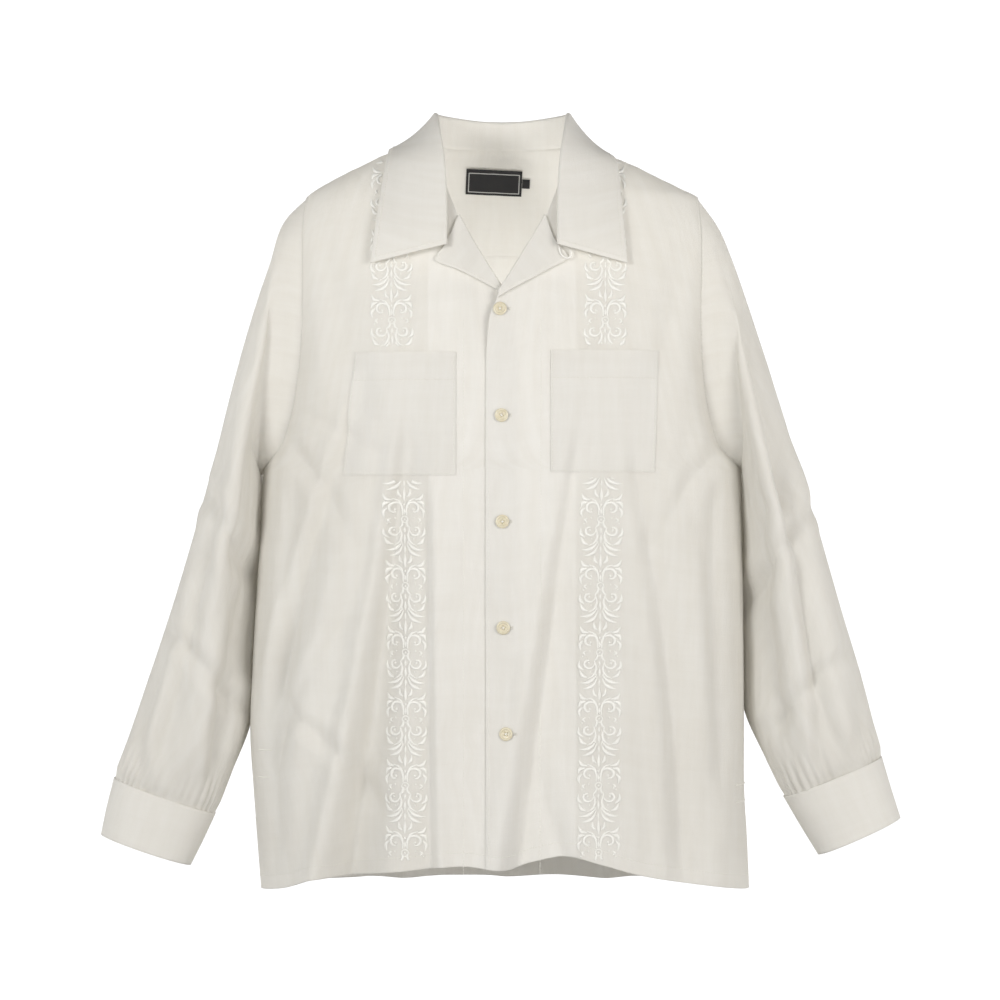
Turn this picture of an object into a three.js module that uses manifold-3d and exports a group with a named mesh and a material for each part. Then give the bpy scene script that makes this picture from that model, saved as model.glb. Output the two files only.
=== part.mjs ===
// A long-sleeved cuban collar shirt, buttoned up and filled out as on a wearer, with nobody in it.
// Millimetres. +Z is up, -Y is the front and +X is the wearer's left. The origin lies midway
// between the shoulders, level with the middle of the shoulder seams, where the wearer holds it up.
import * as THREE from "three";
import Module from "manifold-3d";

const wasm = await Module();
wasm.setup();

// ---------- Driving dimensions ----------
const CLOTH = 1.2; // wall of a single layer
const DOUBLE = 1.6; // wall of the collar and cuffs, which are sewn double
const SEAM_GAP = 0.3; // between two pieces sewn edge to edge
const ARMHOLE_GAP = 1.8; // between the edges at the armhole, where they meet at an angle
const UNDERARM_GAP = 3.4; // and under the arm, where the angle is a sharp one
const HEM_Z = -690; // side seams and back hem
const VENT_Z = -610; // top of the side vents
const UNDERARM_Z = -290;
const SHOULDER_TIP_Z = -29; // where shoulder seam and armhole meet
const NECK_Z = 24; // neck seam, level round the back
const OVERLAP = 15; // each front passes the centre line by this much
const FRONT_DROP = 3.2; // the lower front lies this far inside the upper one
const LAPEL_ROOM = 3.4; // and this much further where a lapel lies between them
const LAPEL_FOLD = 1.5; // radius of the turned lapel's fold
const COLLAR_FOLD = 2; // radius of the collar's fold
const VENT_SPREAD = 5; // how far a vent's edges part at the hem

const FRONT_COLUMNS = { roll: 5, neck: 4, shoulder: 10 };
const OVERLAP_COLUMNS = 2; // of them, these lie where the fronts pass each other
const BACK_COLUMNS = { neck: 10, shoulder: 7 };
const ARMHOLE_STEPS = 14; // rows from underarm to shoulder tip, and half the columns of a sleeve
const YOKE_STEP = 10; // the yoke seam runs at this row
const ROWS_BELOW_ARM = 9;
const SLEEVE_ROWS = 12;
const COLLAR_STEPS = 15; // stations along half the collar

const CLOTH_FINISH = { color: 0xe4e0d4, roughness: 0.85, metalness: 0 };
const BUTTON_FINISH = { color: 0xd8cfa8, roughness: 0.3, metalness: 0 };
const LABEL_FINISH = { color: 0x1c1a1e, roughness: 0.8, metalness: 0 };

// ---------- Tables ----------
// Level sections of the body: half width to the wearer's left and right, half depth to the
// front and to the back, and roundness.
const TORSO = [
  { z: -700, left: 236.5, right: 229.5, front: 111, back: 104, power: 2.3 },
  { z: -640, left: 234, right: 234.3, front: 109, back: 102, power: 2.3 },
  { z: -592, left: 231.6, right: 238, front: 107, back: 100, power: 2.3 },
  { z: -542, left: 231.5, right: 241, front: 105, back: 98, power: 2.35 },
  { z: -480, left: 231.2, right: 239, front: 104, back: 96, power: 2.35 },
  { z: -400, left: 230.5, right: 234.5, front: 104, back: 95, power: 2.4 },
  { z: -340, left: 229.5, right: 230.5, front: 106, back: 97, power: 2.4 },
  { z: -290, left: 228, right: 228, front: 108, back: 99, power: 2.4 },
  { z: -250, left: 221, right: 221, front: 109, back: 102, power: 2.4 },
  { z: -200, left: 216, right: 216, front: 109, back: 106, power: 2.4 },
  { z: -150, left: 213, right: 213, front: 105, back: 106, power: 2.4 },
  { z: -100, left: 209, right: 209, front: 95, back: 103, power: 2.4 },
  { z: -60, left: 203, right: 203, front: 83, back: 96, power: 2.4 },
  { z: -40, left: 195, right: 195, front: 76, back: 91, power: 2.35 },
  { z: -29, left: 187, right: 187, front: 72, back: 88, power: 2.3 },
  { z: -21, left: 170.5, right: 176, front: 69, back: 86, power: 2.3 },
  { z: -13, left: 154.5, right: 162, front: 66, back: 83, power: 2.3 },
  { z: -5, left: 138, right: 146.5, front: 64, back: 81, power: 2.25 },
  { z: 3, left: 122, right: 130, front: 61, back: 79, power: 2.2 },
  { z: 10, left: 101, right: 115.5, front: 59, back: 77, power: 2.2 },
  { z: 17, left: 83, right: 97, front: 56, back: 75, power: 2.2 },
  { z: 24, left: 70, right: 70, front: 52, back: 72, power: 2.2 },
];

// The armhole's edge on the body, seen from the front.
const ARMHOLE = [
  { z: UNDERARM_Z, x: 228 },
  { z: -270, x: 214 },
  { z: -240, x: 203 },
  { z: -200, x: 195 },
  { z: -150, x: 190 },
  { z: -100, x: 189 },
  { z: -60, x: 189 },
  { z: SHOULDER_TIP_Z, x: 187 },
];

// Where each lapel turns over, from the first button to the gorge, and the neck seam from there up.
const ROLL = [
  { x: -3, z: -126 },
  { x: 9, z: -107 },
  { x: 20, z: -89 },
  { x: 31, z: -71 },
  { x: 41, z: -53 },
];
const NECK_SEAM = [
  { x: 41, z: -53 },
  { x: 51, z: -27 },
  { x: 58, z: -3 },
  { x: 65, z: 14 },
  { x: 70, z: NECK_Z },
];

// Each lapel's free edge, from the first button past its corner to the notch, away from the middle.
const LAPEL_EDGE = {
  left: [
    { x: -5, z: -131 },
    { x: 12, z: -121 },
    { x: 28, z: -112.5 },
    { x: 44, z: -103.5 },
    { x: 61, z: -93 },
    { x: 50, z: -80 },
  ],
  right: [
    { x: -4, z: -128 },
    { x: 12, z: -118 },
    { x: 28, z: -110 },
    { x: 45, z: -103 },
    { x: 62, z: -95 },
    { x: 53, z: -81 },
  ],
};

// The front edge where the fronts overlap, from the hem to the first button.
const FRONT_EDGE = [
  { z: HEM_Z, x: -OVERLAP },
  { z: -210, x: -OVERLAP },
  { z: -150, x: -12 },
  { z: -126, x: -3 },
];

// How far the front hem hangs above the side seams' end.
const FRONT_HEM = [
  { x: -233, rise: 0 },
  { x: -205, rise: 5 },
  { x: -173, rise: 15 },
  { x: -112, rise: 23 },
  { x: -39, rise: 30 },
  { x: 3, rise: 26 },
  { x: 27, rise: 33 },
  { x: 60, rise: 39 },
  { x: 92, rise: 31 },
  { x: 130, rise: 20 },
  { x: 178, rise: 11 },
  { x: 233, rise: 1 },
];

// Half the collar from the notch to the centre back: its neck seam, the fold on top and the free
// edge, how far the fall bulges between the last two, and how much further in and down the free
// edge lies on the wearer's left, whose shoulder hangs lower.
const COLLAR = [
  { seam: [57, -93.6, -81], fold: [52, -99, -80], edge: [117, -90, -97], bulge: 1.5, inwards: 0, drop: 0 },
  { seam: [57, -87.6, -60], fold: [52, -93, -56], edge: [114.5, -83, -68], bulge: 1.5, inwards: 0, drop: 0 },
  { seam: [58, -74.5, -30], fold: [53, -83, -25], edge: [112, -69, -34], bulge: 1.5, inwards: 0, drop: 0 },
  { seam: [61.5, -60, 1.5], fold: [55.5, -69, 8], edge: [109, -48.5, 0], bulge: 1, inwards: 0, drop: 1 },
  { seam: [67.5, -41, 20.5], fold: [59.5, -47, 33], edge: [108, -24, 13.5], bulge: -1, inwards: 2, drop: 5 },
  { seam: [69.8, -14, 25.2], fold: [62, -18, 49], edge: [107, 0, 17.5], bulge: -3, inwards: 2, drop: 6.6 },
  { seam: [69.2, 12, 25.2], fold: [62.5, 12, 52], edge: [104.5, 24, 17.5], bulge: -3, inwards: 1, drop: 5.5 },
  { seam: [61, 37, 25.2], fold: [55.5, 35, 51.5], edge: [92, 53.5, 13], bulge: -1, inwards: 0, drop: 2 },
  { seam: [44, 57, 25.2], fold: [40, 51, 49], edge: [70, 75, 5.5], bulge: 0.5, inwards: 0, drop: 0 },
  { seam: [23, 68.5, 25.2], fold: [20.5, 61, 46], edge: [37, 84.5, 2], bulge: 1, inwards: 0, drop: 0 },
  { seam: [0, 72.5, 25.2], fold: [0, 64, 45], edge: [0, 87.5, 1], bulge: 1, inwards: 0, drop: 0 },
];
const LEAF_SPREAD = { left: 0, right: 6 }; // the right leaf's point lies this much further out

// Rings of each sleeve below the armhole, away from the middle of the body: outer and inner point,
// half depth and how far back the ring's middle lies. Each cuff takes over below its sleeve.
const LEFT_SLEEVE = [
  { outX: 208, outZ: -60, inX: 233.6, inZ: -298, depth: 57, middle: 1 },
  { outX: 220.5, outZ: -90, inX: 233.6, inZ: -311, depth: 65, middle: 2 },
  { outX: 233.5, outZ: -127, inX: 233.8, inZ: -326, depth: 71, middle: 3 },
  { outX: 258, outZ: -203, inX: 233.8, inZ: -351, depth: 75, middle: 4 },
  { outX: 281, outZ: -280, inX: 233.8, inZ: -382, depth: 74, middle: 5 },
  { outX: 304.5, outZ: -353, inX: 234, inZ: -420, depth: 69, middle: 4 },
  { outX: 327, outZ: -431, inX: 234.2, inZ: -466, depth: 62, middle: 2 },
  { outX: 343, outZ: -484, inX: 236, inZ: -520, depth: 55, middle: 0 },
  { outX: 355, outZ: -530, inX: 252, inZ: -564, depth: 46, middle: -2 },
  { outX: 363.7, outZ: -564, inX: 270.5, inZ: -602, depth: 33, middle: -3 },
];
const RIGHT_SLEEVE = [
  { outX: 209, outZ: -53, inX: 233.8, inZ: -298, depth: 57, middle: 1 },
  { outX: 221, outZ: -89, inX: 233.8, inZ: -311, depth: 65, middle: 2 },
  { outX: 234, outZ: -127, inX: 234.4, inZ: -326, depth: 71, middle: 3 },
  { outX: 256, outZ: -203, inX: 235.6, inZ: -353, depth: 75, middle: 4 },
  { outX: 275.5, outZ: -280, inX: 237.6, inZ: -386, depth: 74, middle: 5 },
  { outX: 295.5, outZ: -353, inX: 240, inZ: -425, depth: 69, middle: 4 },
  { outX: 319, outZ: -431, inX: 242.4, inZ: -472, depth: 62, middle: 2 },
  { outX: 339, outZ: -491, inX: 245, inZ: -533, depth: 55, middle: 0 },
  { outX: 357, outZ: -544, inX: 258.5, inZ: -577, depth: 46, middle: -2 },
  { outX: 371.8, outZ: -584, inX: 275.6, inZ: -618, depth: 33, middle: -3 },
];
const LEFT_CUFF = [
  { outX: 364, outZ: -564.6, inX: 270.8, inZ: -602.6, depth: 33, middle: -3 },
  { outX: 373, outZ: -595, inX: 288, inZ: -632, depth: 33, middle: -3 },
  { outX: 381.8, outZ: -623, inX: 304, inZ: -658, depth: 31, middle: -4 },
];
const RIGHT_CUFF = [
  { outX: 372, outZ: -584.7, inX: 275.8, inZ: -618.7, depth: 33, middle: -3 },
  { outX: 379.3, outZ: -614, inX: 288, inZ: -645, depth: 33, middle: -3 },
  { outX: 384.4, outZ: -639, inX: 299.5, inZ: -668, depth: 31, middle: -4 },
];
const SLEEVE_POWER = 2.15;
const AT_CUFF = 0.2; // the share of a sleeve's folds that is left where the cuff holds them
const CUFF_OVERLAP = 0.45; // radians by which a cuff's ends pass each other
const CUFF_START = 4.35; // where its under end lies, at the back of the wrist

// Folds, seen from the front: a soft trough from one end to the other, with a ridge on each side.
// depth is how far the trough sinks at each end, ridge the share of it that the sides rise.
const FRONT_FOLDS = [
  { x0: -128, z0: -205, x1: -222, z1: -505, bow: 6, width: 16, depth0: 3, depth1: 9, ridge: 0.35 },
  { x0: -124, z0: -308, x1: -172, z1: -676, bow: -10, width: 17, depth0: 3, depth1: 17, ridge: 0.5 },
  { x0: -150, z0: -460, x1: -214, z1: -552, bow: 5, width: 12, depth0: 3, depth1: 6, ridge: 0.4 },
  { x0: -69, z0: -400, x1: -64, z1: -664, bow: 0, width: 10, depth0: 2, depth1: 5, ridge: 0.3 },
  { x0: 47, z0: -308, x1: 24, z1: -676, bow: 0, width: 15, depth0: 4, depth1: 15, ridge: 0.35 },
  { x0: 125, z0: -308, x1: 172, z1: -640, bow: -8, width: 18, depth0: 3, depth1: 10, ridge: 0.4 },
  { x0: 210, z0: -330, x1: 212, z1: -520, bow: 3, width: 9, depth0: 3, depth1: 4, ridge: 0.2 },
  { x0: 60, z0: -180, x1: 8, z1: -300, bow: 0, width: 15, depth0: 3, depth1: 3, ridge: 0.3 },
];
const BACK_FOLDS = [
  { x0: -70, z0: -95, x1: -100, z1: -690, bow: -8, width: 20, depth0: 3, depth1: 15, ridge: 0.45 },
  { x0: 66, z0: -95, x1: 106, z1: -690, bow: 6, width: 19, depth0: 3, depth1: 16, ridge: 0.45 },
  { x0: -8, z0: -260, x1: 6, z1: -690, bow: 7, width: 18, depth0: 2, depth1: 9, ridge: 0.4 },
  { x0: -150, z0: -190, x1: -178, z1: -600, bow: 8, width: 16, depth0: 3, depth1: 8, ridge: 0.3 },
  { x0: 150, z0: -190, x1: 174, z1: -620, bow: -7, width: 16, depth0: 3, depth1: 8, ridge: 0.3 },
];
const LEFT_SLEEVE_FOLDS = [
  { face: -1, x0: 206, z0: -100, x1: 262, z1: -300, bow: -4, width: 11, depth0: 4, depth1: 7, ridge: 0.4 },
  { face: -1, x0: 262, z0: -300, x1: 301, z1: -575, bow: -6, width: 11, depth0: 7, depth1: 5, ridge: 0.4 },
  { face: -1, x0: 246, z0: -330, x1: 262, z1: -520, bow: 3, width: 9, depth0: 4, depth1: 5, ridge: 0.3 },
  { face: -1, x0: 338, z0: -500, x1: 350, z1: -570, bow: 2, width: 9, depth0: 2, depth1: 5, ridge: 0.3 },
  { face: 1, x0: 215, z0: -130, x1: 268, z1: -400, bow: 5, width: 13, depth0: 4, depth1: 8, ridge: 0.4 },
  { face: 1, x0: 290, z0: -380, x1: 322, z1: -570, bow: -4, width: 12, depth0: 4, depth1: 7, ridge: 0.4 },
];
const RIGHT_SLEEVE_FOLDS = [
  { face: -1, x0: -200, z0: -110, x1: -226, z1: -255, bow: 3, width: 10, depth0: 4, depth1: 6, ridge: 0.4 },
  { face: -1, x0: -268, z0: -300, x1: -322, z1: -540, bow: -6, width: 11, depth0: 4, depth1: 7, ridge: 0.4 },
  { face: -1, x0: -244, z0: -400, x1: -272, z1: -560, bow: 3, width: 9, depth0: 4, depth1: 6, ridge: 0.4 },
  { face: 1, x0: -218, z0: -140, x1: -262, z1: -390, bow: -5, width: 13, depth0: 4, depth1: 8, ridge: 0.4 },
  { face: 1, x0: -288, z0: -360, x1: -318, z1: -570, bow: 4, width: 12, depth0: 4, depth1: 7, ridge: 0.4 },
];

const POCKET = { lift: 2.2, gape: 1.6, wall: 1 };
const POCKETS = {
  left: { inner: 45, outerTop: 147, outerBottom: 142, top: -179, bottom: -293 },
  right: { inner: 43, outerTop: 138, outerBottom: 150, top: -181, bottom: -296 },
};
const BUTTON = { radius: 6.4, thick: 2.4, holeRadius: 0.85, holeOffset: 1.6, sides: 14 };
const BUTTONS = [
  { name: "button_1", x: -2, z: -141 },
  { name: "button_2", x: -0.5, z: -240 },
  { name: "button_3", x: 0, z: -339 },
  { name: "button_4", x: 1, z: -438 },
  { name: "button_5", x: 4, z: -537 },
];
const LABEL = { x: -8, z: -7, width: 55, height: 24, tilt: -0.045, lift: 2, wall: 0.8 };
const SIZE_TAB = { x: 23.6, z: -8.4, width: 7.5, height: 8.5, tilt: -0.045, lift: 2, wall: 0.8 };

// ---------- Curves from tables ----------
const lerp = THREE.MathUtils.lerp;
const clamp = THREE.MathUtils.clamp;
const ease = THREE.MathUtils.smoothstep;

// A smooth function through one column of a table whose rows rise in `by`.
function column(table, by, key) {
  const at = table.map((row) => row[by]);
  const value = table.map((row) => row[key]);
  const last = table.length - 1;
  const slope = (i) => {
    const a = Math.max(i - 1, 0);
    const b = Math.min(i + 1, last);
    return (value[b] - value[a]) / (at[b] - at[a]);
  };
  return (q) => {
    const c = clamp(q, at[0], at[last]);
    let i = at.findIndex((edge) => edge >= c) - 1;
    i = clamp(i, 0, last - 1);
    const step = at[i + 1] - at[i];
    const t = (c - at[i]) / step;
    const t2 = t * t;
    const t3 = t2 * t;
    return (
      (2 * t3 - 3 * t2 + 1) * value[i] +
      (t3 - 2 * t2 + t) * step * slope(i) +
      (3 * t2 - 2 * t3) * value[i + 1] +
      (t3 - t2) * step * slope(i + 1)
    );
  };
}

// The same for a list of rows taken evenly from 0 to 1.
function alongRows(table, ...keys) {
  const even = table.map((row, i) => ({ ...row, share: i / (table.length - 1) }));
  const columns = keys.map((key) => column(even, "share", key));
  return (share) => columns.map((value) => value(share));
}

const torsoHalf = { [-1]: column(TORSO, "z", "right"), [1]: column(TORSO, "z", "left") };
const torsoDepth = { [-1]: column(TORSO, "z", "front"), [1]: column(TORSO, "z", "back") };
const torsoPower = column(TORSO, "z", "power");
const armholeX = column(ARMHOLE, "z", "x");
const frontEdgeX = column(FRONT_EDGE, "z", "x");
const frontHemRise = column(FRONT_HEM, "x", "rise");
const rollLine = alongRows(ROLL, "x", "z");
const neckSeam = alongRows(NECK_SEAM, "x", "z");

// ---------- The body's form ----------
// Half the body's width at a height; the sign of `side` picks the side.
function torsoWidth(z, side = 1) {
  return torsoHalf[side < 0 ? -1 : 1](z);
}

// The height of the folds at (x, z), outwards.
function foldHeight(folds, x, z) {
  let height = 0;
  for (const fold of folds) {
    const dx = fold.x1 - fold.x0;
    const dz = fold.z1 - fold.z0;
    const length = Math.hypot(dx, dz);
    const along = ((x - fold.x0) * dx + (z - fold.z0) * dz) / length;
    const share = clamp(along / length, 0, 1);
    const across = ((x - fold.x0) * dz - (z - fold.z0) * dx) / length - fold.bow * 4 * share * (1 - share);
    const overrun = (along - share * length) / (3 * fold.width);
    const bell = (offset) => Math.exp(-(((across - offset) / fold.width) ** 2));
    const profile = fold.ridge * (bell(1.9 * fold.width) + bell(-1.9 * fold.width)) - bell(0);
    height += lerp(fold.depth0, fold.depth1, share) * profile * Math.exp(-overrun * overrun);
  }
  return height;
}

// The point of the body's form at (x, z) on the front (-1) or back (1) face, moved out by `lift`.
function torsoPoint(face, x, z, lift = 0) {
  const width = torsoWidth(z, x);
  const depth = torsoDepth[face](z);
  const power = torsoPower(z);
  const side = clamp(Math.abs(x) / width, 0, 1);
  const deep = (1 - side ** power) ** (1 / power);
  const widening = (torsoWidth(z + 1, x) - torsoWidth(z - 1, x)) / 2;
  const deepening = (torsoDepth[face](z + 1) - torsoDepth[face](z - 1)) / 2;
  const normal = new THREE.Vector3(
    (Math.sign(x) * side ** (power - 1)) / width,
    (face * deep ** (power - 1)) / depth,
    -(side ** power * widening) / width - (deep ** power * deepening) / depth,
  ).normalize();
  const seam = (face * SEAM_GAP) / 2;
  return new THREE.Vector3(x, face * deep * depth + seam, z).addScaledVector(normal, lift);
}

// Folds fade towards the side seams, the armholes, the shoulders and the neck.
function torsoFold(face, x, z) {
  const folds = face < 0 ? FRONT_FOLDS : BACK_FOLDS;
  const reach = z < UNDERARM_Z ? torsoWidth(z, x) : armholeX(z);
  return foldHeight(folds, x, z) * ease(reach - Math.abs(x), 2, 26) * (1 - ease(z, -110, -60));
}

// How far the lower front lies inside the upper one, side by side past the centre line.
function frontDrop(side, x, z) {
  if (side > 0) return 0;
  const inner = FRONT_DROP + LAPEL_ROOM * ease(z, -200, -140);
  return inner * ease(x, -42, -20);
}

// A point of one front's cloth; side is 1 for the wearer's left front, which lies on top.
function frontPoint(side, x, z, lift = 0) {
  return torsoPoint(-1, x, z, lift + torsoFold(-1, x, z) - frontDrop(side, x, z));
}

// ---------- Grids of points ----------
// Share of the armhole's height at row k of its steps; rows crowd towards both ends.
const armholeShare = (k) => (1 - Math.cos((Math.PI * k) / ARMHOLE_STEPS)) / 2;
const armholeZ = (k) => lerp(UNDERARM_Z, SHOULDER_TIP_Z, armholeShare(k));

// The x where column i of a front crosses a level: the first few lie in the overlap.
function frontColumnX(side, level, i) {
  const width = torsoWidth(level, side);
  if (i <= OVERLAP_COLUMNS) return lerp(frontEdgeX(level), OVERLAP, i / OVERLAP_COLUMNS);
  const columns = FRONT_COLUMNS.roll + FRONT_COLUMNS.neck + FRONT_COLUMNS.shoulder;
  const share = (i - OVERLAP_COLUMNS) / (columns - OVERLAP_COLUMNS);
  return width * Math.sin(lerp(Math.asin(OVERLAP / width), Math.PI / 2, share));
}

// Below the vent the free side edges part a little.
const ventOpening = (z) => clamp((VENT_Z - z) / (VENT_Z - HEM_Z), 0, 1) * VENT_SPREAD;

// The point of a front's upper edge in column i: lapel's roll, neck seam, then shoulder seam.
function frontTop(side, i) {
  const { roll, neck, shoulder } = FRONT_COLUMNS;
  if (i <= roll) return rollLine(i / roll);
  if (i <= roll + neck) return neckSeam((i - roll) / neck);
  const z = lerp(NECK_Z, SHOULDER_TIP_Z, (i - roll - neck) / shoulder);
  return [torsoWidth(z, side), z];
}

// (x, z) of a front in column i and row j, where x grows from the front edge to the side seam.
function frontPlan(side, i, j) {
  if (j <= ROWS_BELOW_ARM) {
    const share = j / ROWS_BELOW_ARM;
    const level = lerp(HEM_Z, UNDERARM_Z, share);
    const x = frontColumnX(side, level, i);
    return [x, level + frontHemRise(side * x) * (1 - share) ** 2];
  }
  const u = i / (FRONT_COLUMNS.roll + FRONT_COLUMNS.neck + FRONT_COLUMNS.shoulder);
  const share = armholeShare(j - ROWS_BELOW_ARM);
  const [topX, topZ] = frontTop(side, i);
  const z = lerp(UNDERARM_Z, topZ, share);
  const edgeZ = lerp(UNDERARM_Z, ROLL[0].z, share);
  const atEdge = frontEdgeX(edgeZ) - lerp(-OVERLAP, ROLL[0].x, share);
  const atArm = armholeX(z) - lerp(armholeX(UNDERARM_Z), armholeX(SHOULDER_TIP_Z), share);
  const straight = lerp(frontColumnX(side, UNDERARM_Z, i), topX, share);
  return [straight + atEdge * (1 - u) ** 5 + atArm * u ** 5, z];
}

function frontGrid(side) {
  const columns = FRONT_COLUMNS.roll + FRONT_COLUMNS.neck + FRONT_COLUMNS.shoulder;
  const points = grid(columns, ROWS_BELOW_ARM + ARMHOLE_STEPS, (u, v, i, j) => {
    const [across, z] = frontPlan(side, i, j);
    const point = frontPoint(side, side * across, z);
    point.y -= ventOpening(z) * u ** 8;
    return point;
  });
  if (side < 0) points.forEach((line) => line.reverse()); // both run towards +X, so facets agree
  return points;
}

// The x on the back at u from -1 at one side to 1 at the other.
function backX(u, z) {
  const width = torsoWidth(z, u);
  const reach = z < UNDERARM_Z ? width : armholeX(z);
  return width * Math.sin(u * Math.asin(Math.min(reach / width, 1)));
}

function backGrid() {
  const columns = BACK_COLUMNS.neck + 2 * BACK_COLUMNS.shoulder;
  const seamShift = SEAM_GAP; // the yoke starts this far above
  return grid(columns, ROWS_BELOW_ARM + YOKE_STEP, (u, v, i, row) => {
    const low = lerp(HEM_Z, UNDERARM_Z, row / ROWS_BELOW_ARM);
    const z = row <= ROWS_BELOW_ARM ? low : armholeZ(row - ROWS_BELOW_ARM);
    const across = backX(2 * u - 1, z);
    const top = row === ROWS_BELOW_ARM + YOKE_STEP ? seamShift : 0;
    const point = torsoPoint(1, across, z - top, torsoFold(1, across, z));
    point.y += ventOpening(z) * Math.abs(2 * u - 1) ** 8;
    return point;
  });
}

// The yoke runs from its seam up to the neck seam and over to both shoulder seams.
function yokePoint(u, step, lift = 0) {
  const neckShare = BACK_COLUMNS.neck / (BACK_COLUMNS.neck + 2 * BACK_COLUMNS.shoulder);
  const low = armholeShare(YOKE_STEP);
  const share = (armholeShare(step) - low) / (1 - low);
  const seamZ = armholeZ(YOKE_STEP);
  const out = Math.abs(u);
  let topX, topZ;
  if (out < neckShare) {
    topZ = NECK_Z;
    topX = torsoWidth(NECK_Z) * Math.sin(((u / neckShare) * Math.PI) / 2);
  } else {
    topZ = lerp(NECK_Z, SHOULDER_TIP_Z, (out - neckShare) / (1 - neckShare));
    topX = Math.sign(u) * torsoWidth(topZ, u);
  }
  const z = lerp(seamZ, topZ, share);
  const atArm = armholeX(z) - lerp(armholeX(seamZ), armholeX(SHOULDER_TIP_Z), share);
  const x = lerp(backX(u, seamZ), topX, share) + Math.sign(u) * atArm * out ** 5;
  return torsoPoint(1, x, z, lift + torsoFold(1, x, z));
}

function yokeGrid() {
  const columns = BACK_COLUMNS.neck + 2 * BACK_COLUMNS.shoulder;
  const rows = ARMHOLE_STEPS - YOKE_STEP;
  return grid(columns, rows, (u, v) => yokePoint(2 * u - 1, YOKE_STEP + v * rows));
}

// A grid of points: columns + 1 of them across and rows + 1 up.
function grid(columns, rows, place) {
  const points = [];
  for (let j = 0; j <= rows; j++) {
    const line = [];
    for (let i = 0; i <= columns; i++) line.push(place(i / columns, j / rows, i, j));
    points.push(line);
  }
  return points;
}

// ---------- Sleeves and cuffs ----------
// The armhole's edge at an angle: 0 at the shoulder tip, down the front to pi at the underarm.
function armholePoint(angle) {
  const z = lerp(UNDERARM_Z, SHOULDER_TIP_Z, (1 + Math.cos(angle)) / 2);
  const face = Math.sin(angle) > 0 ? -1 : 1;
  return torsoPoint(face, armholeX(z), z);
}

function ringPoint(ring, angle) {
  const { outX, outZ, inX, inZ, depth, middle } = ring;
  const rounded = (value) => Math.sign(value) * Math.abs(value) ** (2 / SLEEVE_POWER);
  const c = rounded(Math.cos(angle));
  const s = rounded(Math.sin(angle));
  const x = (outX + inX) / 2 + ((outX - inX) / 2) * c;
  const z = (outZ + inZ) / 2 + ((outZ - inZ) / 2) * c;
  return new THREE.Vector3(x, middle - depth * s, z);
}

// A point at `share` of the way down a smooth line through several points.
function alongPoints(points, share) {
  return new THREE.CatmullRomCurve3(points, false, "centripetal").getPoint(clamp(share, 0, 1));
}

// A sleeve's point at an angle round it and a share of the way down from the armhole.
function sleevePoint(table, angle, share) {
  const rings = table.map((ring) => ringPoint(ring, angle));
  const start = armholePoint(angle);
  const along = armholePoint(angle + 0.01).sub(armholePoint(angle - 0.01)).normalize();
  const away = rings[0].clone().sub(start);
  const gap = lerp(ARMHOLE_GAP, UNDERARM_GAP, ease(-Math.cos(angle), 0.5, 0.95));
  away.addScaledVector(along, -away.dot(along)).setLength(gap);
  return alongPoints([start.add(away), ...rings], share);
}

function cuffPoint(table, angle, share) {
  const rings = table.map((ring) => ringPoint(ring, angle));
  return alongPoints(rings, share);
}

// Moves a tube's point out by `lift` and by its folds, then over to its own side.
function dressed(form, table, angle, share, side, folds, lift = 0) {
  const step = 0.01;
  const place = (a, b) => form(table, a, b);
  const point = place(angle, share);
  const round = place(angle + step, share).sub(place(angle - step, share));
  const down = place(angle, Math.min(share + step, 1)).sub(place(angle, Math.max(share - step, 0)));
  const normal = round.cross(down).normalize();
  const centre = place(angle + Math.PI, share).lerp(point, 0.5);
  if (normal.dot(point.clone().sub(centre)) < 0) normal.negate();
  const face = Math.sin(angle) > 0 ? -1 : 1;
  const shown = folds.filter((fold) => fold.face === face);
  const edge = ease(Math.abs(Math.sin(angle)), 0.15, 0.6) * ease(share, 0.02, 0.12);
  const held = edge * lerp(1, AT_CUFF, ease(share, 0.9, 1));
  point.addScaledVector(normal, lift + foldHeight(shown, side * point.x, point.z) * held);
  point.x *= side;
  return point;
}

function sleeveGrid(side, table, folds) {
  return grid(2 * ARMHOLE_STEPS, SLEEVE_ROWS, (u, v) =>
    dressed(sleevePoint, table, 2 * Math.PI * u, v, side, folds),
  );
}

// A cuff is a band whose ends pass each other, the outer end on top.
function cuffGrid(side, table) {
  const turn = 2 * Math.PI + CUFF_OVERLAP;
  return grid(2 * ARMHOLE_STEPS + 2, table.length, (u, v) =>
    dressed(cuffPoint, table, CUFF_START + turn * u, v, side, [], lerp(-1.3, 1.3, u)),
  );
}

// ---------- Collar and lapels ----------
const COLLAR_SECTION = [
  { name: "neck seam", on: "seam", share: 0 },
  { name: "stand", on: "seam", share: 0.5 },
  { name: "inside the fold", on: "turn", angle: Math.PI },
  { name: "fold, inner", on: "turn", angle: 0.72 * Math.PI },
  { name: "fold, outer", on: "turn", angle: 0.28 * Math.PI },
  { name: "outside the fold", on: "turn", angle: 0 },
  { name: "fall, upper", on: "edge", share: 0.3 },
  { name: "fall, lower", on: "edge", share: 0.65 },
  { name: "free edge", on: "edge", share: 1 },
];

const collarShape = alongRows(COLLAR, "bulge", "inwards", "drop");

function collarStation(half) {
  const vector = (key) =>
    alongPoints(
      COLLAR.map((row) => new THREE.Vector3(...row[key])),
      half,
    );
  const [bulge, inwards, drop] = collarShape(half);
  return { seam: vector("seam"), fold: vector("fold"), edge: vector("edge"), bulge, inwards, drop };
}

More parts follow.
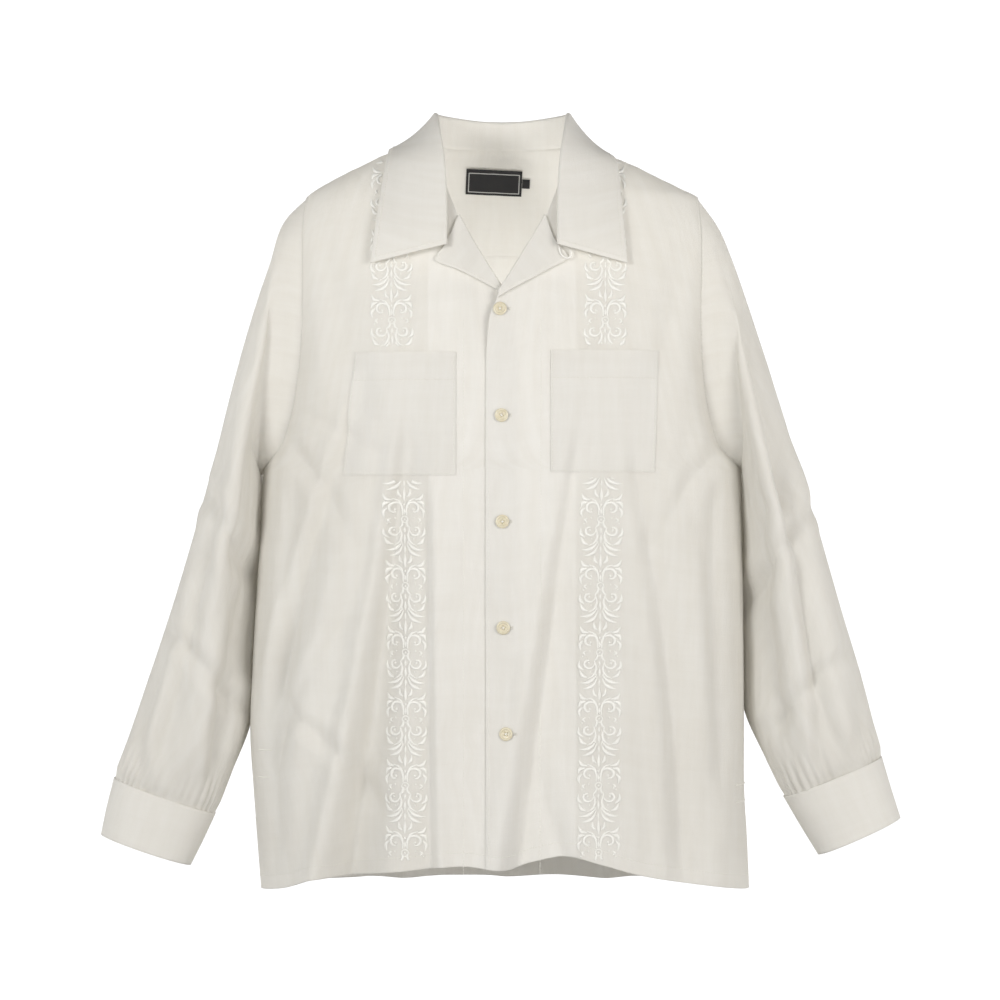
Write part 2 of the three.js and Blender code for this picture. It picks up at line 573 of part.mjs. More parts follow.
function collarPoint(u, row) {
  const side = u < 0.5 ? 1 : -1;
  const half = 1 - Math.abs(1 - 2 * u);
  const { seam, fold, edge, bulge, inwards, drop } = collarStation(half);
  edge.x += LEAF_SPREAD[side > 0 ? "left" : "right"] * (1 - ease(half, 0, 0.4));
  if (side > 0) {
    edge.x -= inwards;
    edge.z -= drop;
  }
  const toSeam = seam.clone().sub(fold).normalize();
  const toEdge = edge.clone().sub(fold).normalize();
  const up = toSeam.clone().add(toEdge).negate().normalize();
  const out = edge.clone().sub(seam);
  out.addScaledVector(up, -out.dot(up)).normalize();
  const centre = fold.clone().addScaledVector(up, -COLLAR_FOLD);
  const turned = (angle) =>
    centre
      .clone()
      .addScaledVector(out, COLLAR_FOLD * Math.cos(angle))
      .addScaledVector(up, COLLAR_FOLD * Math.sin(angle));
  const place = COLLAR_SECTION[row];
  let point;
  if (place.on === "turn") point = turned(place.angle);
  else if (place.on === "seam") point = seam.clone().lerp(turned(Math.PI), place.share);
  else {
    point = turned(0).lerp(edge, place.share);
    const normal = toEdge.clone().multiplyScalar(-up.dot(toEdge)).add(up).normalize();
    point.addScaledVector(normal, bulge * 4 * place.share * (1 - place.share));
  }
  point.x *= side;
  return point;
}

function collarGrid() {
  return grid(2 * COLLAR_STEPS, COLLAR_SECTION.length - 1, (u, v, i, row) => collarPoint(u, row));
}

// A lapel starts at the front's rolled edge, turns over and lies on the front.
const LAPEL_TURN = [
  { past: 0.5, lift: 0 },
  { past: 0.5 + 0.8 * LAPEL_FOLD, lift: 0.4 * LAPEL_FOLD },
  { past: 0.5 + 0.8 * LAPEL_FOLD, lift: 1.6 * LAPEL_FOLD },
  { past: 0, lift: 2 * LAPEL_FOLD },
];
const LAPEL_FLAT_ROWS = 4;

function lapelPoint(side, u, row) {
  const [x, z] = rollLine(u);
  const [nextX, nextZ] = rollLine(Math.min(u + 0.01, 1));
  const [lastX, lastZ] = rollLine(Math.max(u - 0.01, 0));
  const length = Math.hypot(nextX - lastX, nextZ - lastZ);
  const past = [-(nextZ - lastZ) / length, (nextX - lastX) / length];
  const turn = LAPEL_TURN[Math.min(row, LAPEL_TURN.length - 1)];
  const share = Math.max(row - LAPEL_TURN.length + 1, 0) / LAPEL_FLAT_ROWS;
  const [edgeX, edgeZ] = alongRows(LAPEL_EDGE[side > 0 ? "left" : "right"], "x", "z")(u);
  const across = lerp(x + past[0] * turn.past, edgeX, share);
  const level = lerp(z + past[1] * turn.past, edgeZ, share);
  return frontPoint(side, side * across, level, turn.lift);
}

function lapelGrid(side) {
  const rows = LAPEL_TURN.length - 1 + LAPEL_FLAT_ROWS;
  return grid(FRONT_COLUMNS.roll, rows, (u, v, i, row) => lapelPoint(side, u, row));
}

// ---------- Small pieces laid on the cloth ----------
function pocketGrid(side) {
  const { inner, outerTop, outerBottom, top, bottom } = POCKETS[side > 0 ? "left" : "right"];
  return grid(8, 7, (u, v) => {
    const x = side * lerp(inner, lerp(outerBottom, outerTop, v), u);
    const gape = POCKET.gape * v ** 3 * 4 * u * (1 - u);
    return frontPoint(side, x, lerp(bottom, top, v), POCKET.lift + gape);
  });
}

// A label on the inside of the yoke.
function labelGrid(label) {
  return grid(6, 3, (u, v) => {
    const a = (u - 0.5) * label.width;
    const b = (v - 0.5) * label.height;
    const x = label.x + a * Math.cos(label.tilt) - b * Math.sin(label.tilt);
    const z = label.z + a * Math.sin(label.tilt) + b * Math.cos(label.tilt);
    return torsoPoint(1, x, z, -label.lift + torsoFold(1, x, z));
  });
}

// ---------- Solids ----------
const LONG_DIAGONAL = 1.15; // a facet is split the other way once its diagonal is this much longer

// A closed wall of even thickness round a grid of points. A tube's first and last columns meet.
function wall(points, thickness, tube = false) {
  const rows = points.length;
  const columns = tube ? points[0].length - 1 : points[0].length;
  const at = (j, i) => points[j][tube ? (i + columns) % columns : clamp(i, 0, columns - 1)];
  const position = [];
  for (const sign of [0.5, -0.5])
    for (let j = 0; j < rows; j++)
      for (let i = 0; i < columns; i++) {
        const across = at(j, i + 1).clone().sub(at(j, i - 1));
        const up = at(Math.min(j + 1, rows - 1), i).clone().sub(at(Math.max(j - 1, 0), i));
        const normal = across.cross(up).normalize();
        const point = at(j, i).clone().addScaledVector(normal, sign * thickness);
        position.push(point.x, point.y, point.z);
      }
  const outer = (j, i) => j * columns + (i % columns);
  const inner = (j, i) => rows * columns + outer(j, i);
  const index = [];
  const face = (a, b, c, d) => index.push(a, b, c, a, c, d);
  const lastColumn = tube ? columns : columns - 1;
  for (let j = 0; j < rows - 1; j++)
    for (let i = 0; i < lastColumn; i++) {
      const rising = at(j, i).distanceTo(at(j + 1, i + 1));
      const falling = at(j, i + 1).distanceTo(at(j + 1, i));
      if (rising < LONG_DIAGONAL * falling) {
        face(outer(j, i), outer(j, i + 1), outer(j + 1, i + 1), outer(j + 1, i));
        face(inner(j, i), inner(j + 1, i), inner(j + 1, i + 1), inner(j, i + 1));
      } else {
        face(outer(j, i + 1), outer(j + 1, i + 1), outer(j + 1, i), outer(j, i));
        face(inner(j, i + 1), inner(j, i), inner(j + 1, i), inner(j + 1, i + 1));
      }
    }
  for (let i = 0; i < lastColumn; i++) {
    face(outer(0, i), inner(0, i), inner(0, i + 1), outer(0, i + 1));
    face(outer(rows - 1, i), outer(rows - 1, i + 1), inner(rows - 1, i + 1), inner(rows - 1, i));
  }
  if (!tube)
    for (let j = 0; j < rows - 1; j++) {
      face(outer(j, 0), outer(j + 1, 0), inner(j + 1, 0), inner(j, 0));
      const e = columns - 1;
      face(outer(j, e), inner(j, e), inner(j + 1, e), outer(j + 1, e));
    }
  return facingOut(position, index);
}

// A geometry whose faces all point outwards, whichever way its points were listed.
function facingOut(position, index) {
  const corner = (k) => new THREE.Vector3().fromArray(position, 3 * index[k]);
  let volume = 0;
  for (let k = 0; k < index.length; k += 3) volume += corner(k).dot(corner(k + 1).cross(corner(k + 2)));
  if (volume < 0) index.reverse();
  const geometry = new THREE.BufferGeometry();
  geometry.setAttribute("position", new THREE.Float32BufferAttribute(position, 3));
  geometry.setIndex(index);
  geometry.computeVertexNormals();
  return geometry;
}

const finish = {
  cloth: new THREE.MeshStandardMaterial(CLOTH_FINISH),
  button: new THREE.MeshStandardMaterial(BUTTON_FINISH),
  label: new THREE.MeshStandardMaterial(LABEL_FINISH),
};

function piece(name, geometry, material = finish.cloth) {
  const mesh = new THREE.Mesh(geometry, material);
  mesh.name = name;
  return mesh;
}

// ---------- Buttons ----------
function solidFrom(geometry) {
  const position = geometry.getAttribute("position");
  const keys = new Map();
  const vertices = [];
  const triangles = [];
  const count = geometry.index ? geometry.index.count : position.count;
  for (let k = 0; k < count; k++) {
    const v = geometry.index ? geometry.index.getX(k) : k;
    const point = [position.getX(v), position.getY(v), position.getZ(v)];
    const key = point.map((value) => Math.round(value * 1e4)).join();
    if (!keys.has(key)) {
      keys.set(key, vertices.length / 3);
      vertices.push(...point);
    }
    triangles.push(keys.get(key));
  }
  const kept = [];
  for (let k = 0; k < triangles.length; k += 3) {
    const [a, b, c] = triangles.slice(k, k + 3);
    if (a !== b && b !== c && a !== c) kept.push(a, b, c);
  }
  const mesh = new wasm.Mesh({
    numProp: 3,
    vertProperties: new Float32Array(vertices),
    triVerts: new Uint32Array(kept),
  });
  return new wasm.Manifold(mesh);
}

// A shirt button: a rim round a shallow dish with four sewing holes, its axis along +Z.
function buttonGeometry() {
  const { radius, thick, holeRadius, holeOffset, sides } = BUTTON;
  const profile = [
    [0, 0],
    [0.8 * radius, 0],
    [radius, 0.4 * thick],
    [0.92 * radius, thick],
    [0.72 * radius, 0.9 * thick],
    [0.6 * radius, 0.65 * thick],
    [0, 0.65 * thick],
  ];
  const points = profile.map(([r, h]) => new THREE.Vector2(r, h));
  const lathe = new THREE.LatheGeometry(points, sides);
  lathe.rotateX(Math.PI / 2);
  let solid = solidFrom(lathe);
  for (const [sx, sy] of [[1, 1], [1, -1], [-1, 1], [-1, -1]]) {
    const drill = new THREE.CylinderGeometry(holeRadius, holeRadius, 4 * thick, 5);
    drill.rotateX(Math.PI / 2);
    drill.translate(sx * holeOffset, sy * holeOffset, 0);
    solid = solid.subtract(solidFrom(drill));
  }
  const cut = solid.getMesh();
  const geometry = new THREE.BufferGeometry();
  geometry.setAttribute("position", new THREE.BufferAttribute(cut.vertProperties, 3));
  geometry.setIndex(new THREE.BufferAttribute(cut.triVerts, 1));
  geometry.computeVertexNormals();
  return geometry;
}

function placedButton(name, base, outside) {
  const mesh = piece(name, buttonGeometry(), finish.button);
  mesh.position.copy(base);
  const outwards = outside.clone().sub(base).normalize();
  mesh.quaternion.setFromUnitVectors(new THREE.Vector3(0, 0, 1), outwards);
  return mesh;
}

const BUTTON_LIFT = CLOTH / 2 + 0.8; // the sewing thread keeps a button just off the cloth
const TOP_BUTTON = { name: "button_top", x: -74, z: -60 }; // under the collar, for the loop
const CUFF_BUTTON = { angle: CUFF_START + CUFF_OVERLAP / 2, share: 0.5 };

function frontButton({ name, x, z }) {
  const side = x < -OVERLAP ? -1 : 1;
  const base = frontPoint(side, x, z, BUTTON_LIFT);
  return placedButton(name, base, frontPoint(side, x, z, BUTTON_LIFT + 1));
}

function cuffButton(name, side, table) {
  const { angle, share } = CUFF_BUTTON;
  const lift = 1.3 + DOUBLE / 2 + 0.5;
  const at = (extra) => dressed(cuffPoint, table, angle, share, side, [], lift + extra);
  return placedButton(name, at(0), at(1));
}

// The cord loop in the left notch, which takes the hidden top button.
function loopPiece() {
  const places = [
    [53, -84.5],
    [55, -91],
    [60, -94.5],
    [64, -91.5],
    [63.5, -87],
  ];
  const line = places.map(([x, z]) => frontPoint(1, x, z, 5));
  const path = new THREE.CatmullRomCurve3(line);
  const section = new THREE.Shape().absarc(0, 0, 0.7, 0, 2 * Math.PI);
  const cord = new THREE.ExtrudeGeometry(section, {
    extrudePath: path,
    steps: 10,
    curveSegments: 3,
    bevelEnabled: false,
  });
  return piece("loop", cord);
}

// ---------- The shirt ----------
const shirt = new THREE.Group();
shirt.add(
  piece("front_left", wall(frontGrid(1), CLOTH)),
  piece("front_right", wall(frontGrid(-1), CLOTH)),
  piece("back", wall(backGrid(), CLOTH)),
  piece("yoke", wall(yokeGrid(), CLOTH)),
  piece("sleeve_left", wall(sleeveGrid(1, LEFT_SLEEVE, LEFT_SLEEVE_FOLDS), CLOTH, true)),
  piece("sleeve_right", wall(sleeveGrid(-1, RIGHT_SLEEVE, RIGHT_SLEEVE_FOLDS), CLOTH, true)),
  piece("cuff_left", wall(cuffGrid(1, LEFT_CUFF), DOUBLE)),
  piece("cuff_right", wall(cuffGrid(-1, RIGHT_CUFF), DOUBLE)),
  piece("collar", wall(collarGrid(), DOUBLE)),
  piece("lapel_left", wall(lapelGrid(1), CLOTH)),
  piece("lapel_right", wall(lapelGrid(-1), CLOTH)),
  piece("pocket_left", wall(pocketGrid(1), POCKET.wall)),
  piece("pocket_right", wall(pocketGrid(-1), POCKET.wall)),
  piece("label", wall(labelGrid(LABEL), LABEL.wall), finish.label),
  piece("size_tab", wall(labelGrid(SIZE_TAB), SIZE_TAB.wall), finish.label),
  ...BUTTONS.map(frontButton),
  frontButton(TOP_BUTTON),
  cuffButton("button_cuff_left", 1, LEFT_CUFF),
  cuffButton("button_cuff_right", -1, RIGHT_CUFF),
  loopPiece(),
);

export default shirt;
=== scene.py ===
"""A long-sleeved cuban collar shirt, buttoned up and filled out as on a wearer, with nobody in it.

Sizes are in millimetres until a mesh is made. +Z is up, -Y is the front, +X is the wearer's left,
and the origin lies midway between the shoulders.
"""

import math

import bmesh
import bpy
import numpy as np
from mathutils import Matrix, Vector


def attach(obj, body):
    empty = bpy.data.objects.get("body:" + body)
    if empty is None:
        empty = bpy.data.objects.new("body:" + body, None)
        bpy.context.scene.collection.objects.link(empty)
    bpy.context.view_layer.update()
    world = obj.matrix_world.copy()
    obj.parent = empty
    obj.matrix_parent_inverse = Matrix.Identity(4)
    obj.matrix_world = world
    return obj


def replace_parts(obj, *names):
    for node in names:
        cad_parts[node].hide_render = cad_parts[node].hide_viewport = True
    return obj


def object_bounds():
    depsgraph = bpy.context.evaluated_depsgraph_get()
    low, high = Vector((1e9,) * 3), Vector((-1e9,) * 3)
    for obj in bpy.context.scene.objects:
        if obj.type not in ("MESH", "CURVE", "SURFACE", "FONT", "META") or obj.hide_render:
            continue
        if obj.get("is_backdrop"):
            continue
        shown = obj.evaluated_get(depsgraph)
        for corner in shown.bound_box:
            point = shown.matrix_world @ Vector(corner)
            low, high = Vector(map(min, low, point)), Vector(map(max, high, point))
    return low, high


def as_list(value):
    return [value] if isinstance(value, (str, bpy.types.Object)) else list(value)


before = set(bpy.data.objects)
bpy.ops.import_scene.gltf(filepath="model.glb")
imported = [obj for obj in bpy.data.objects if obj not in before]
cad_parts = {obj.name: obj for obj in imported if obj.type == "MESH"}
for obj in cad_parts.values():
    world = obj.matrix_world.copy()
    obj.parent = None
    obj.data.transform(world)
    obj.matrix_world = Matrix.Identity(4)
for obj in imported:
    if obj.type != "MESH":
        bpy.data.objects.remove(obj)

CAD_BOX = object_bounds()
MM = 0.001

# ---------- Camera ----------
CAMERA_AT = (-2, -3500, -319)
FRAME_WIDTH = 960  # what the picture is wide at the shoulders' depth
camera_data = bpy.data.cameras.new("camera")
camera_data.lens = camera_data.sensor_width * -CAMERA_AT[1] / FRAME_WIDTH
camera = bpy.data.objects.new("camera", camera_data)
camera.location = Vector(CAMERA_AT) * MM
camera.rotation_euler = (math.pi / 2, 0, 0)
bpy.context.scene.collection.objects.link(camera)
bpy.context.scene.camera = camera

# ---------- Sizes ----------
CLOTH, DOUBLE = 0.9, 1.3  # drawn thickness of a single and a double layer
POCKET_CLOTH, POCKET_LIFT = 0.65, 0.85
LABEL_CLOTH, LABEL_DEPTH = 0.6, 2.0
HEM_Z, VENT_Z, UNDERARM_Z, TIP_Z, NECK_Z = -690, -610, -290, -29, 24
OVERLAP, VENT_SPREAD = 15, 5
FRONT_DROP, LAPEL_ROOM = 1.2, 4.9  # room under the left front, and under the lapels
LAPEL_FOLD, COLLAR_FOLD = 1.5, 2.0
YOKE_SEAM_ROW = 10
ROLL_COLUMNS, NECK_COLUMNS, SHOULDER_COLUMNS = 5, 4, 10
COLUMNS = ROLL_COLUMNS + NECK_COLUMNS + SHOULDER_COLUMNS
OVERLAP_COLUMNS = 2
LOW_ROWS, ARM_ROWS = 9, 14
BACK_NECK_SHARE = 10 / 24
SEAM_HALF_GAP = 0.15
NEAR = 0.8  # the step over which slopes and directions are measured
LEAST_SHEET = 0.01  # metres; anything smaller isn't listed among the sheets
UP = np.array([0, 0, 1.0])
SIDES = ((1, "left"), (-1, "right"))


def table(names, *rows):
    """Named columns of numbers, from a row for each section or fold."""
    return dict(zip(names.split(), np.array(rows, float).T))


TORSO = table(
    "z left right front back power",
    (-700, 236.5, 229.5, 111, 104, 2.3),
    (-640, 234, 234.3, 109, 102, 2.3),
    (-592, 231.6, 238, 107, 100, 2.3),
    (-542, 231.5, 241, 105, 98, 2.35),
    (-480, 231.2, 239, 104, 96, 2.35),
    (-400, 230.5, 234.5, 104, 95, 2.4),
    (-340, 229.5, 230.5, 106, 97, 2.4),
    (-290, 228, 228, 108, 99, 2.4),
    (-250, 221, 221, 109, 102, 2.4),
    (-200, 216, 216, 109, 106, 2.4),
    (-150, 213, 213, 105, 106, 2.4),
    (-100, 209, 209, 95, 103, 2.4),
    (-60, 203, 203, 83, 96, 2.4),
    (-40, 195, 195, 76, 91, 2.35),
    (-29, 187, 187, 72, 88, 2.3),
    (-21, 170.5, 176, 69, 86, 2.3),
    (-13, 154.5, 162, 66, 83, 2.3),
    (-5, 138, 146.5, 64, 81, 2.25),
    (3, 122, 130, 61, 79, 2.2),
    (10, 101, 115.5, 59, 77, 2.2),
    (17, 83, 97, 56, 75, 2.2),
    (24, 70, 70, 52, 72, 2.2),
)
ARMHOLE = table(
    "z x",
    (-290, 228), (-270, 214), (-240, 203), (-200, 195), (-150, 190), (-100, 189), (-60, 189), (-29, 187),
)
ROLL = table("x z", (-3, -126), (9, -107), (20, -89), (31, -71), (41, -53))
NECK_SEAM = table("x z", (41, -53), (51, -27), (58, -3), (65, 14), (70, 24))
LAPEL_EDGE = {
    1: table("x z", (-5, -131), (12, -121), (28, -112.5), (44, -103.5), (61, -93), (50, -80)),
    -1: table("x z", (-4, -128), (12, -118), (28, -110), (45, -103), (62, -95), (53, -81)),
}
FRONT_EDGE = table("z x", (-690, -15), (-210, -15), (-150, -12), (-126, -3))
FRONT_HEM = table(
    "x rise",
    (-233, 0), (-205, 5), (-173, 15), (-112, 23), (-39, 30), (3, 26),
    (27, 33), (60, 39), (92, 31), (130, 20), (178, 11), (233, 1),
)
COLLAR = table(
    "sx sy sz fx fy fz ex ey ez bulge inwards drop",
    (57, -93.6, -81, 52, -99, -80, 117, -90, -97, 1.5, 0, 0),
    (57, -87.6, -60, 52, -93, -56, 114.5, -83, -68, 1.5, 0, 0),
    (58, -74.5, -30, 53, -83, -25, 112, -69, -34, 1.5, 0, 0),
    (61.5, -60, 1.5, 55.5, -69, 8, 109, -48.5, 0, 1, 0, 1),
    (67.5, -41, 20.5, 59.5, -47, 33, 108, -24, 13.5, -1, 2, 5),
    (69.8, -14, 25.2, 62, -18, 49, 107, 0, 17.5, -3, 2, 6.6),
    (69.2, 12, 25.2, 62.5, 12, 52, 104.5, 24, 17.5, -3, 1, 5.5),
    (61, 37, 25.2, 55.5, 35, 52.5, 92, 53.5, 13, -1, 0, 2),
    (44, 57, 25.2, 40, 51, 51.5, 70, 75, 5.5, 0.5, 0, 0),
    (23, 68.5, 25.2, 20.5, 61, 50, 37, 84.5, 2, 1, 0, 0),
    (0, 72.5, 25.2, 0, 64, 49.5, 0, 87.5, 1, 1, 0, 0),
)
LEAF_SPREAD = {1: 0, -1: 6}
RING = "outX outZ inX inZ depth middle"
SLEEVE = {
    1: table(
        RING,
        (208, -60, 233.6, -298, 57, 1), (220.5, -90, 233.6, -311, 65, 2),
        (233.5, -127, 233.8, -326, 71, 3), (258, -203, 233.8, -351, 75, 4),
        (281, -280, 233.8, -382, 74, 5), (304.5, -353, 234, -420, 69, 4),
        (327, -431, 234.2, -466, 62, 2), (343, -484, 236, -520, 55, 0),
        (355, -530, 252, -564, 46, -2), (363.7, -564, 270.5, -602, 33, -3),
    ),
    -1: table(
        RING,
        (209, -53, 233.8, -298, 57, 1), (221, -89, 233.8, -311, 65, 2),
        (234, -127, 234.4, -326, 71, 3), (256, -203, 235.6, -353, 75, 4),
        (275.5, -280, 237.6, -386, 74, 5), (295.5, -353, 240, -425, 69, 4),
        (319, -431, 242.4, -472, 62, 2), (339, -491, 245, -533, 55, 0),
        (357, -544, 258.5, -577, 46, -2), (371.8, -584, 275.6, -618, 33, -3),
    ),
}
CUFF = {
    1: table(
        RING,
        (364, -564.6, 270.8, -602.6, 33, -3), (373, -595, 288, -632, 33, -3),
        (381.8, -623, 304, -658, 31, -4),
    ),
    -1: table(
        RING,
        (372, -584.7, 275.8, -618.7, 33, -3), (379.3, -614, 288, -645, 33, -3),
        (384.4, -639, 299.5, -668, 31, -4),
    ),
}
SLEEVE_POWER = 2.15
CUFF_OVERLAP, CUFF_START, CUFF_LIFT = 0.45, 4.35, 1.3
CUFF_TURN = 2 * math.pi + CUFF_OVERLAP

# A fold is a soft trough from one end to the other with a ridge on each side.
FOLD = "face x0 z0 x1 z1 bow w0 w1 d0 d1 ridge skew"
FRONT_FOLDS = table(
    FOLD,
    (-1, -134, -230, -222, -525, 4, 9, 13, 3, 12, 0.45, 0.35),
    (-1, -92, -285, -150, -676, -4, 12, 23, 7, 25, 0.5, 0.45),
    (-1, -158, -450, -216, -560, 5, 8, 11, 2.5, 5, 0.4, 0.2),
    (-1, -69, -330, -66, -670, 0, 7, 13, 3.5, 9, 0.35, -0.6),
    (-1, 67, -285, 14, -676, 0, 13, 29, 5, 18, 0.35, 0.55),
    (-1, 126, -300, 168, -640, -8, 10, 16, 3, 9, 0.4, 0.3),
    (-1, 200, -330, 206, -560, 3, 8, 11, 3, 6, 0.3, 0),
    (-1, 60, -180, 8, -300, 0, 13, 14, 1.5, 2, 0.3, 0.3),
    (-1, -60, -200, -22, -420, 4, 11, 14, 1.5, 3, 0.3, 0),
    (-1, 88, -330, 96, -600, -3, 9, 12, 2, 3.5, 0.4, 0),
    (-1, -196, -330, -216, -640, 4, 8, 10, 2, 5, 0.4, 0.2),
    (-1, 176, -90, 150, -190, 3, 12, 14, 2, 3, 0.4, 0),
    (-1, -170, -80, -140, -190, -3, 12, 14, 2, 3, 0.4, 0),
    (-1, 28, -560, 60, -660, 0, 7, 9, 1, 3, 0.4, 0),
    (-1, 206, -270, 148, -352, 5, 8, 9, 3, 2, 0.4, 0),
    (-1, -206, -262, -146, -346, -5, 8, 9, 4, 2, 0.4, 0),
    (-1, -190, -240, -128, -268, -3, 6, 8, 2.5, 1.5, 0.4, 0),
    (-1, -196, -520, -128, -590, -5, 7, 9, 2.5, 4, 0.4, 0),
)
BACK_FOLDS = table(
    FOLD,
    (1, -70, -95, -100, -690, -8, 10, 20, 3, 15, 0.45, 0.3),
    (1, 66, -95, 106, -690, 6, 10, 19, 3, 16, 0.45, -0.3),
    (1, -8, -260, 6, -690, 7, 10, 16, 2, 9, 0.4, 0.2),
    (1, -150, -190, -178, -600, 8, 10, 14, 3, 9, 0.3, 0),
    (1, 150, -190, 174, -620, -7, 10, 14, 3, 9, 0.3, 0),
    (1, -35, -300, -48, -640, 3, 8, 11, 1.5, 5, 0.4, 0),
    (1, 38, -340, 52, -600, -4, 8, 11, 1.5, 5, 0.4, 0),
    (1, 205, -330, 212, -560, 2, 8, 10, 2, 5, 0.3, 0),
    (1, -200, -360, -206, -540, 2, 8, 10, 2, 5, 0.3, 0),
)
SLEEVE_FOLDS = {
    1: table(
        FOLD,
        (-1, 206, -90, 262, -300, -4, 7, 9, 4, 9, 0.45, 0.3),
        (-1, 262, -300, 304, -585, -6, 8, 10, 9, 6, 0.45, 0.3),
        (-1, 246, -330, 262, -520, 3, 6, 8, 4, 6, 0.35, 0),
        (-1, 338, -500, 350, -570, 2, 7, 8, 2, 5, 0.3, 0),
        (-1, 236, -150, 290, -360, 6, 7, 9, 2, 4, 0.4, 0),
        (-1, 284, -430, 322, -560, 4, 6, 8, 2, 4, 0.4, 0),
        (-1, 290, -330, 244, -404, 4, 7, 9, 3, 5, 0.4, 0),
        (-1, 322, -468, 266, -526, 4, 7, 8, 3, 4, 0.4, 0),
        (1, 215, -130, 268, -400, 5, 8, 11, 4, 9, 0.4, 0.2),
        (1, 290, -380, 322, -570, -4, 8, 10, 4, 8, 0.4, 0.2),
        (1, 250, -330, 275, -520, 3, 7, 9, 2, 5, 0.4, 0),
        (1, 240, -140, 300, -400, 6, 8, 10, 2, 4, 0.4, 0),
    ),
    -1: table(
        FOLD,
        (-1, -200, -100, -230, -265, 3, 7, 9, 4, 8, 0.45, 0.2),
        (-1, -268, -290, -322, -545, -6, 8, 10, 4, 8, 0.45, 0.3),
        (-1, -244, -400, -272, -565, 3, 7, 8, 4, 7, 0.45, 0.2),
        (-1, -236, -190, -262, -420, -5, 7, 9, 2, 5, 0.4, 0.2),
        (-1, -300, -420, -345, -570, 4, 6, 8, 2, 4, 0.4, 0),
        (-1, -292, -296, -248, -374, -4, 7, 9, 3, 6, 0.4, 0),
        (-1, -320, -440, -262, -504, -4, 7, 8, 3, 5, 0.4, 0),
        (1, -218, -140, -262, -390, -5, 8, 11, 4, 9, 0.4, -0.2),
        (1, -288, -360, -318, -570, 4, 8, 10, 4, 8, 0.4, -0.2),
        (1, -250, -350, -275, -540, 3, 7, 9, 2, 5, 0.4, 0),
    ),
}
POCKETS = {
    1: {"inner": 45, "outer_top": 147, "outer_bottom": 142, "top": -179, "bottom": -293},
    -1: {"inner": 43, "outer_top": 138, "outer_bottom": 150, "top": -181, "bottom": -296},
}
BUTTONS = {
    "button_1": (-2, -141), "button_2": (-0.5, -240), "button_3": (0, -339),
    "button_4": (1, -438), "button_5": (4, -537),
}


# ---------- Curves ----------
def lerp(a, b, t):
    return a + (b - a) * t


def ease(x, low, high):
    t = np.clip((x - low) / (high - low), 0, 1)
    return t * t * (3 - 2 * t)


def steps(low, high, count):
    return np.linspace(low, high, count)


def unit(v):
    return v / np.maximum(np.linalg.norm(v, axis=-1, keepdims=True), 1e-9)


def hermite(t, step, a, b, slope_a, slope_b):
    """The cubic from a to b over a step, with a slope at each end."""
    return (
        (2 * t**3 - 3 * t**2 + 1) * a
        + (t**3 - 2 * t**2 + t) * step * slope_a
        + (3 * t**2 - 2 * t**3) * b
        + (t**3 - t**2) * step * slope_b
    )


def lengths(line):
    """Lengths along a line, from its start to each of its points."""
    return np.concatenate([[0], np.cumsum(np.linalg.norm(np.diff(line, axis=0), axis=-1))])


def sample(line, length, at):
    """Points or normals of a line at lengths along it."""
    return np.stack([np.interp(at, length, line[:, c]) for c in range(line.shape[1])], -1)


def column(rows, by, key):
    """A smooth function through one column of a table."""
    at = rows[by] if by else np.linspace(0, 1, len(rows[key]))
    value = rows[key]
    last = len(at) - 1
    low = np.maximum(np.arange(last + 1) - 1, 0)
    high = np.minimum(np.arange(last + 1) + 1, last)
    slope = (value[high] - value[low]) / (at[high] - at[low])

    def function(q):
        q = np.clip(q, at[0], at[-1])
        i = np.clip(np.searchsorted(at, q) - 1, 0, last - 1)
        step = at[i + 1] - at[i]
        return hermite((q - at[i]) / step, step, value[i], value[i + 1], slope[i], slope[i + 1])

    return function


width_left, width_right = column(TORSO, "z", "left"), column(TORSO, "z", "right")
DEPTH = {-1: column(TORSO, "z", "front"), 1: column(TORSO, "z", "back")}
torso_power = column(TORSO, "z", "power")
armhole_x = column(ARMHOLE, "z", "x")
front_edge_x = column(FRONT_EDGE, "z", "x")
front_hem_rise = column(FRONT_HEM, "x", "rise")
roll_x, roll_z = column(ROLL, None, "x"), column(ROLL, None, "z")
neck_x, neck_z = column(NECK_SEAM, None, "x"), column(NECK_SEAM, None, "z")


# ---------- The body's form ----------
def torso_width(z, side):
    return np.where(side < 0, width_right(z), width_left(z))


def torso(face, x, z, lift=0.0):
    """Points of the smooth body, front or back (face -1 or 1), moved out by lift."""
    x, z, lift = np.broadcast_arrays(np.asarray(x, float), np.asarray(z, float), lift)
    width, depth, power = torso_width(z, x), DEPTH[face](z), torso_power(z)
    side = np.clip(np.abs(x) / width, 0, 1)
    deep = (1 - side**power) ** (1 / power)
    widening = (torso_width(z + 1, x) - torso_width(z - 1, x)) / 2
    deepening = (DEPTH[face](z + 1) - DEPTH[face](z - 1)) / 2
    rise = -(side**power) * widening / width - deep**power * deepening / depth
    out = [np.sign(x) * side ** (power - 1) / width, face * deep ** (power - 1) / depth, rise]
    normal = unit(np.stack(out, -1))
    return np.stack([x, face * (deep * depth + SEAM_HALF_GAP), z], -1) + normal * lift[..., None]


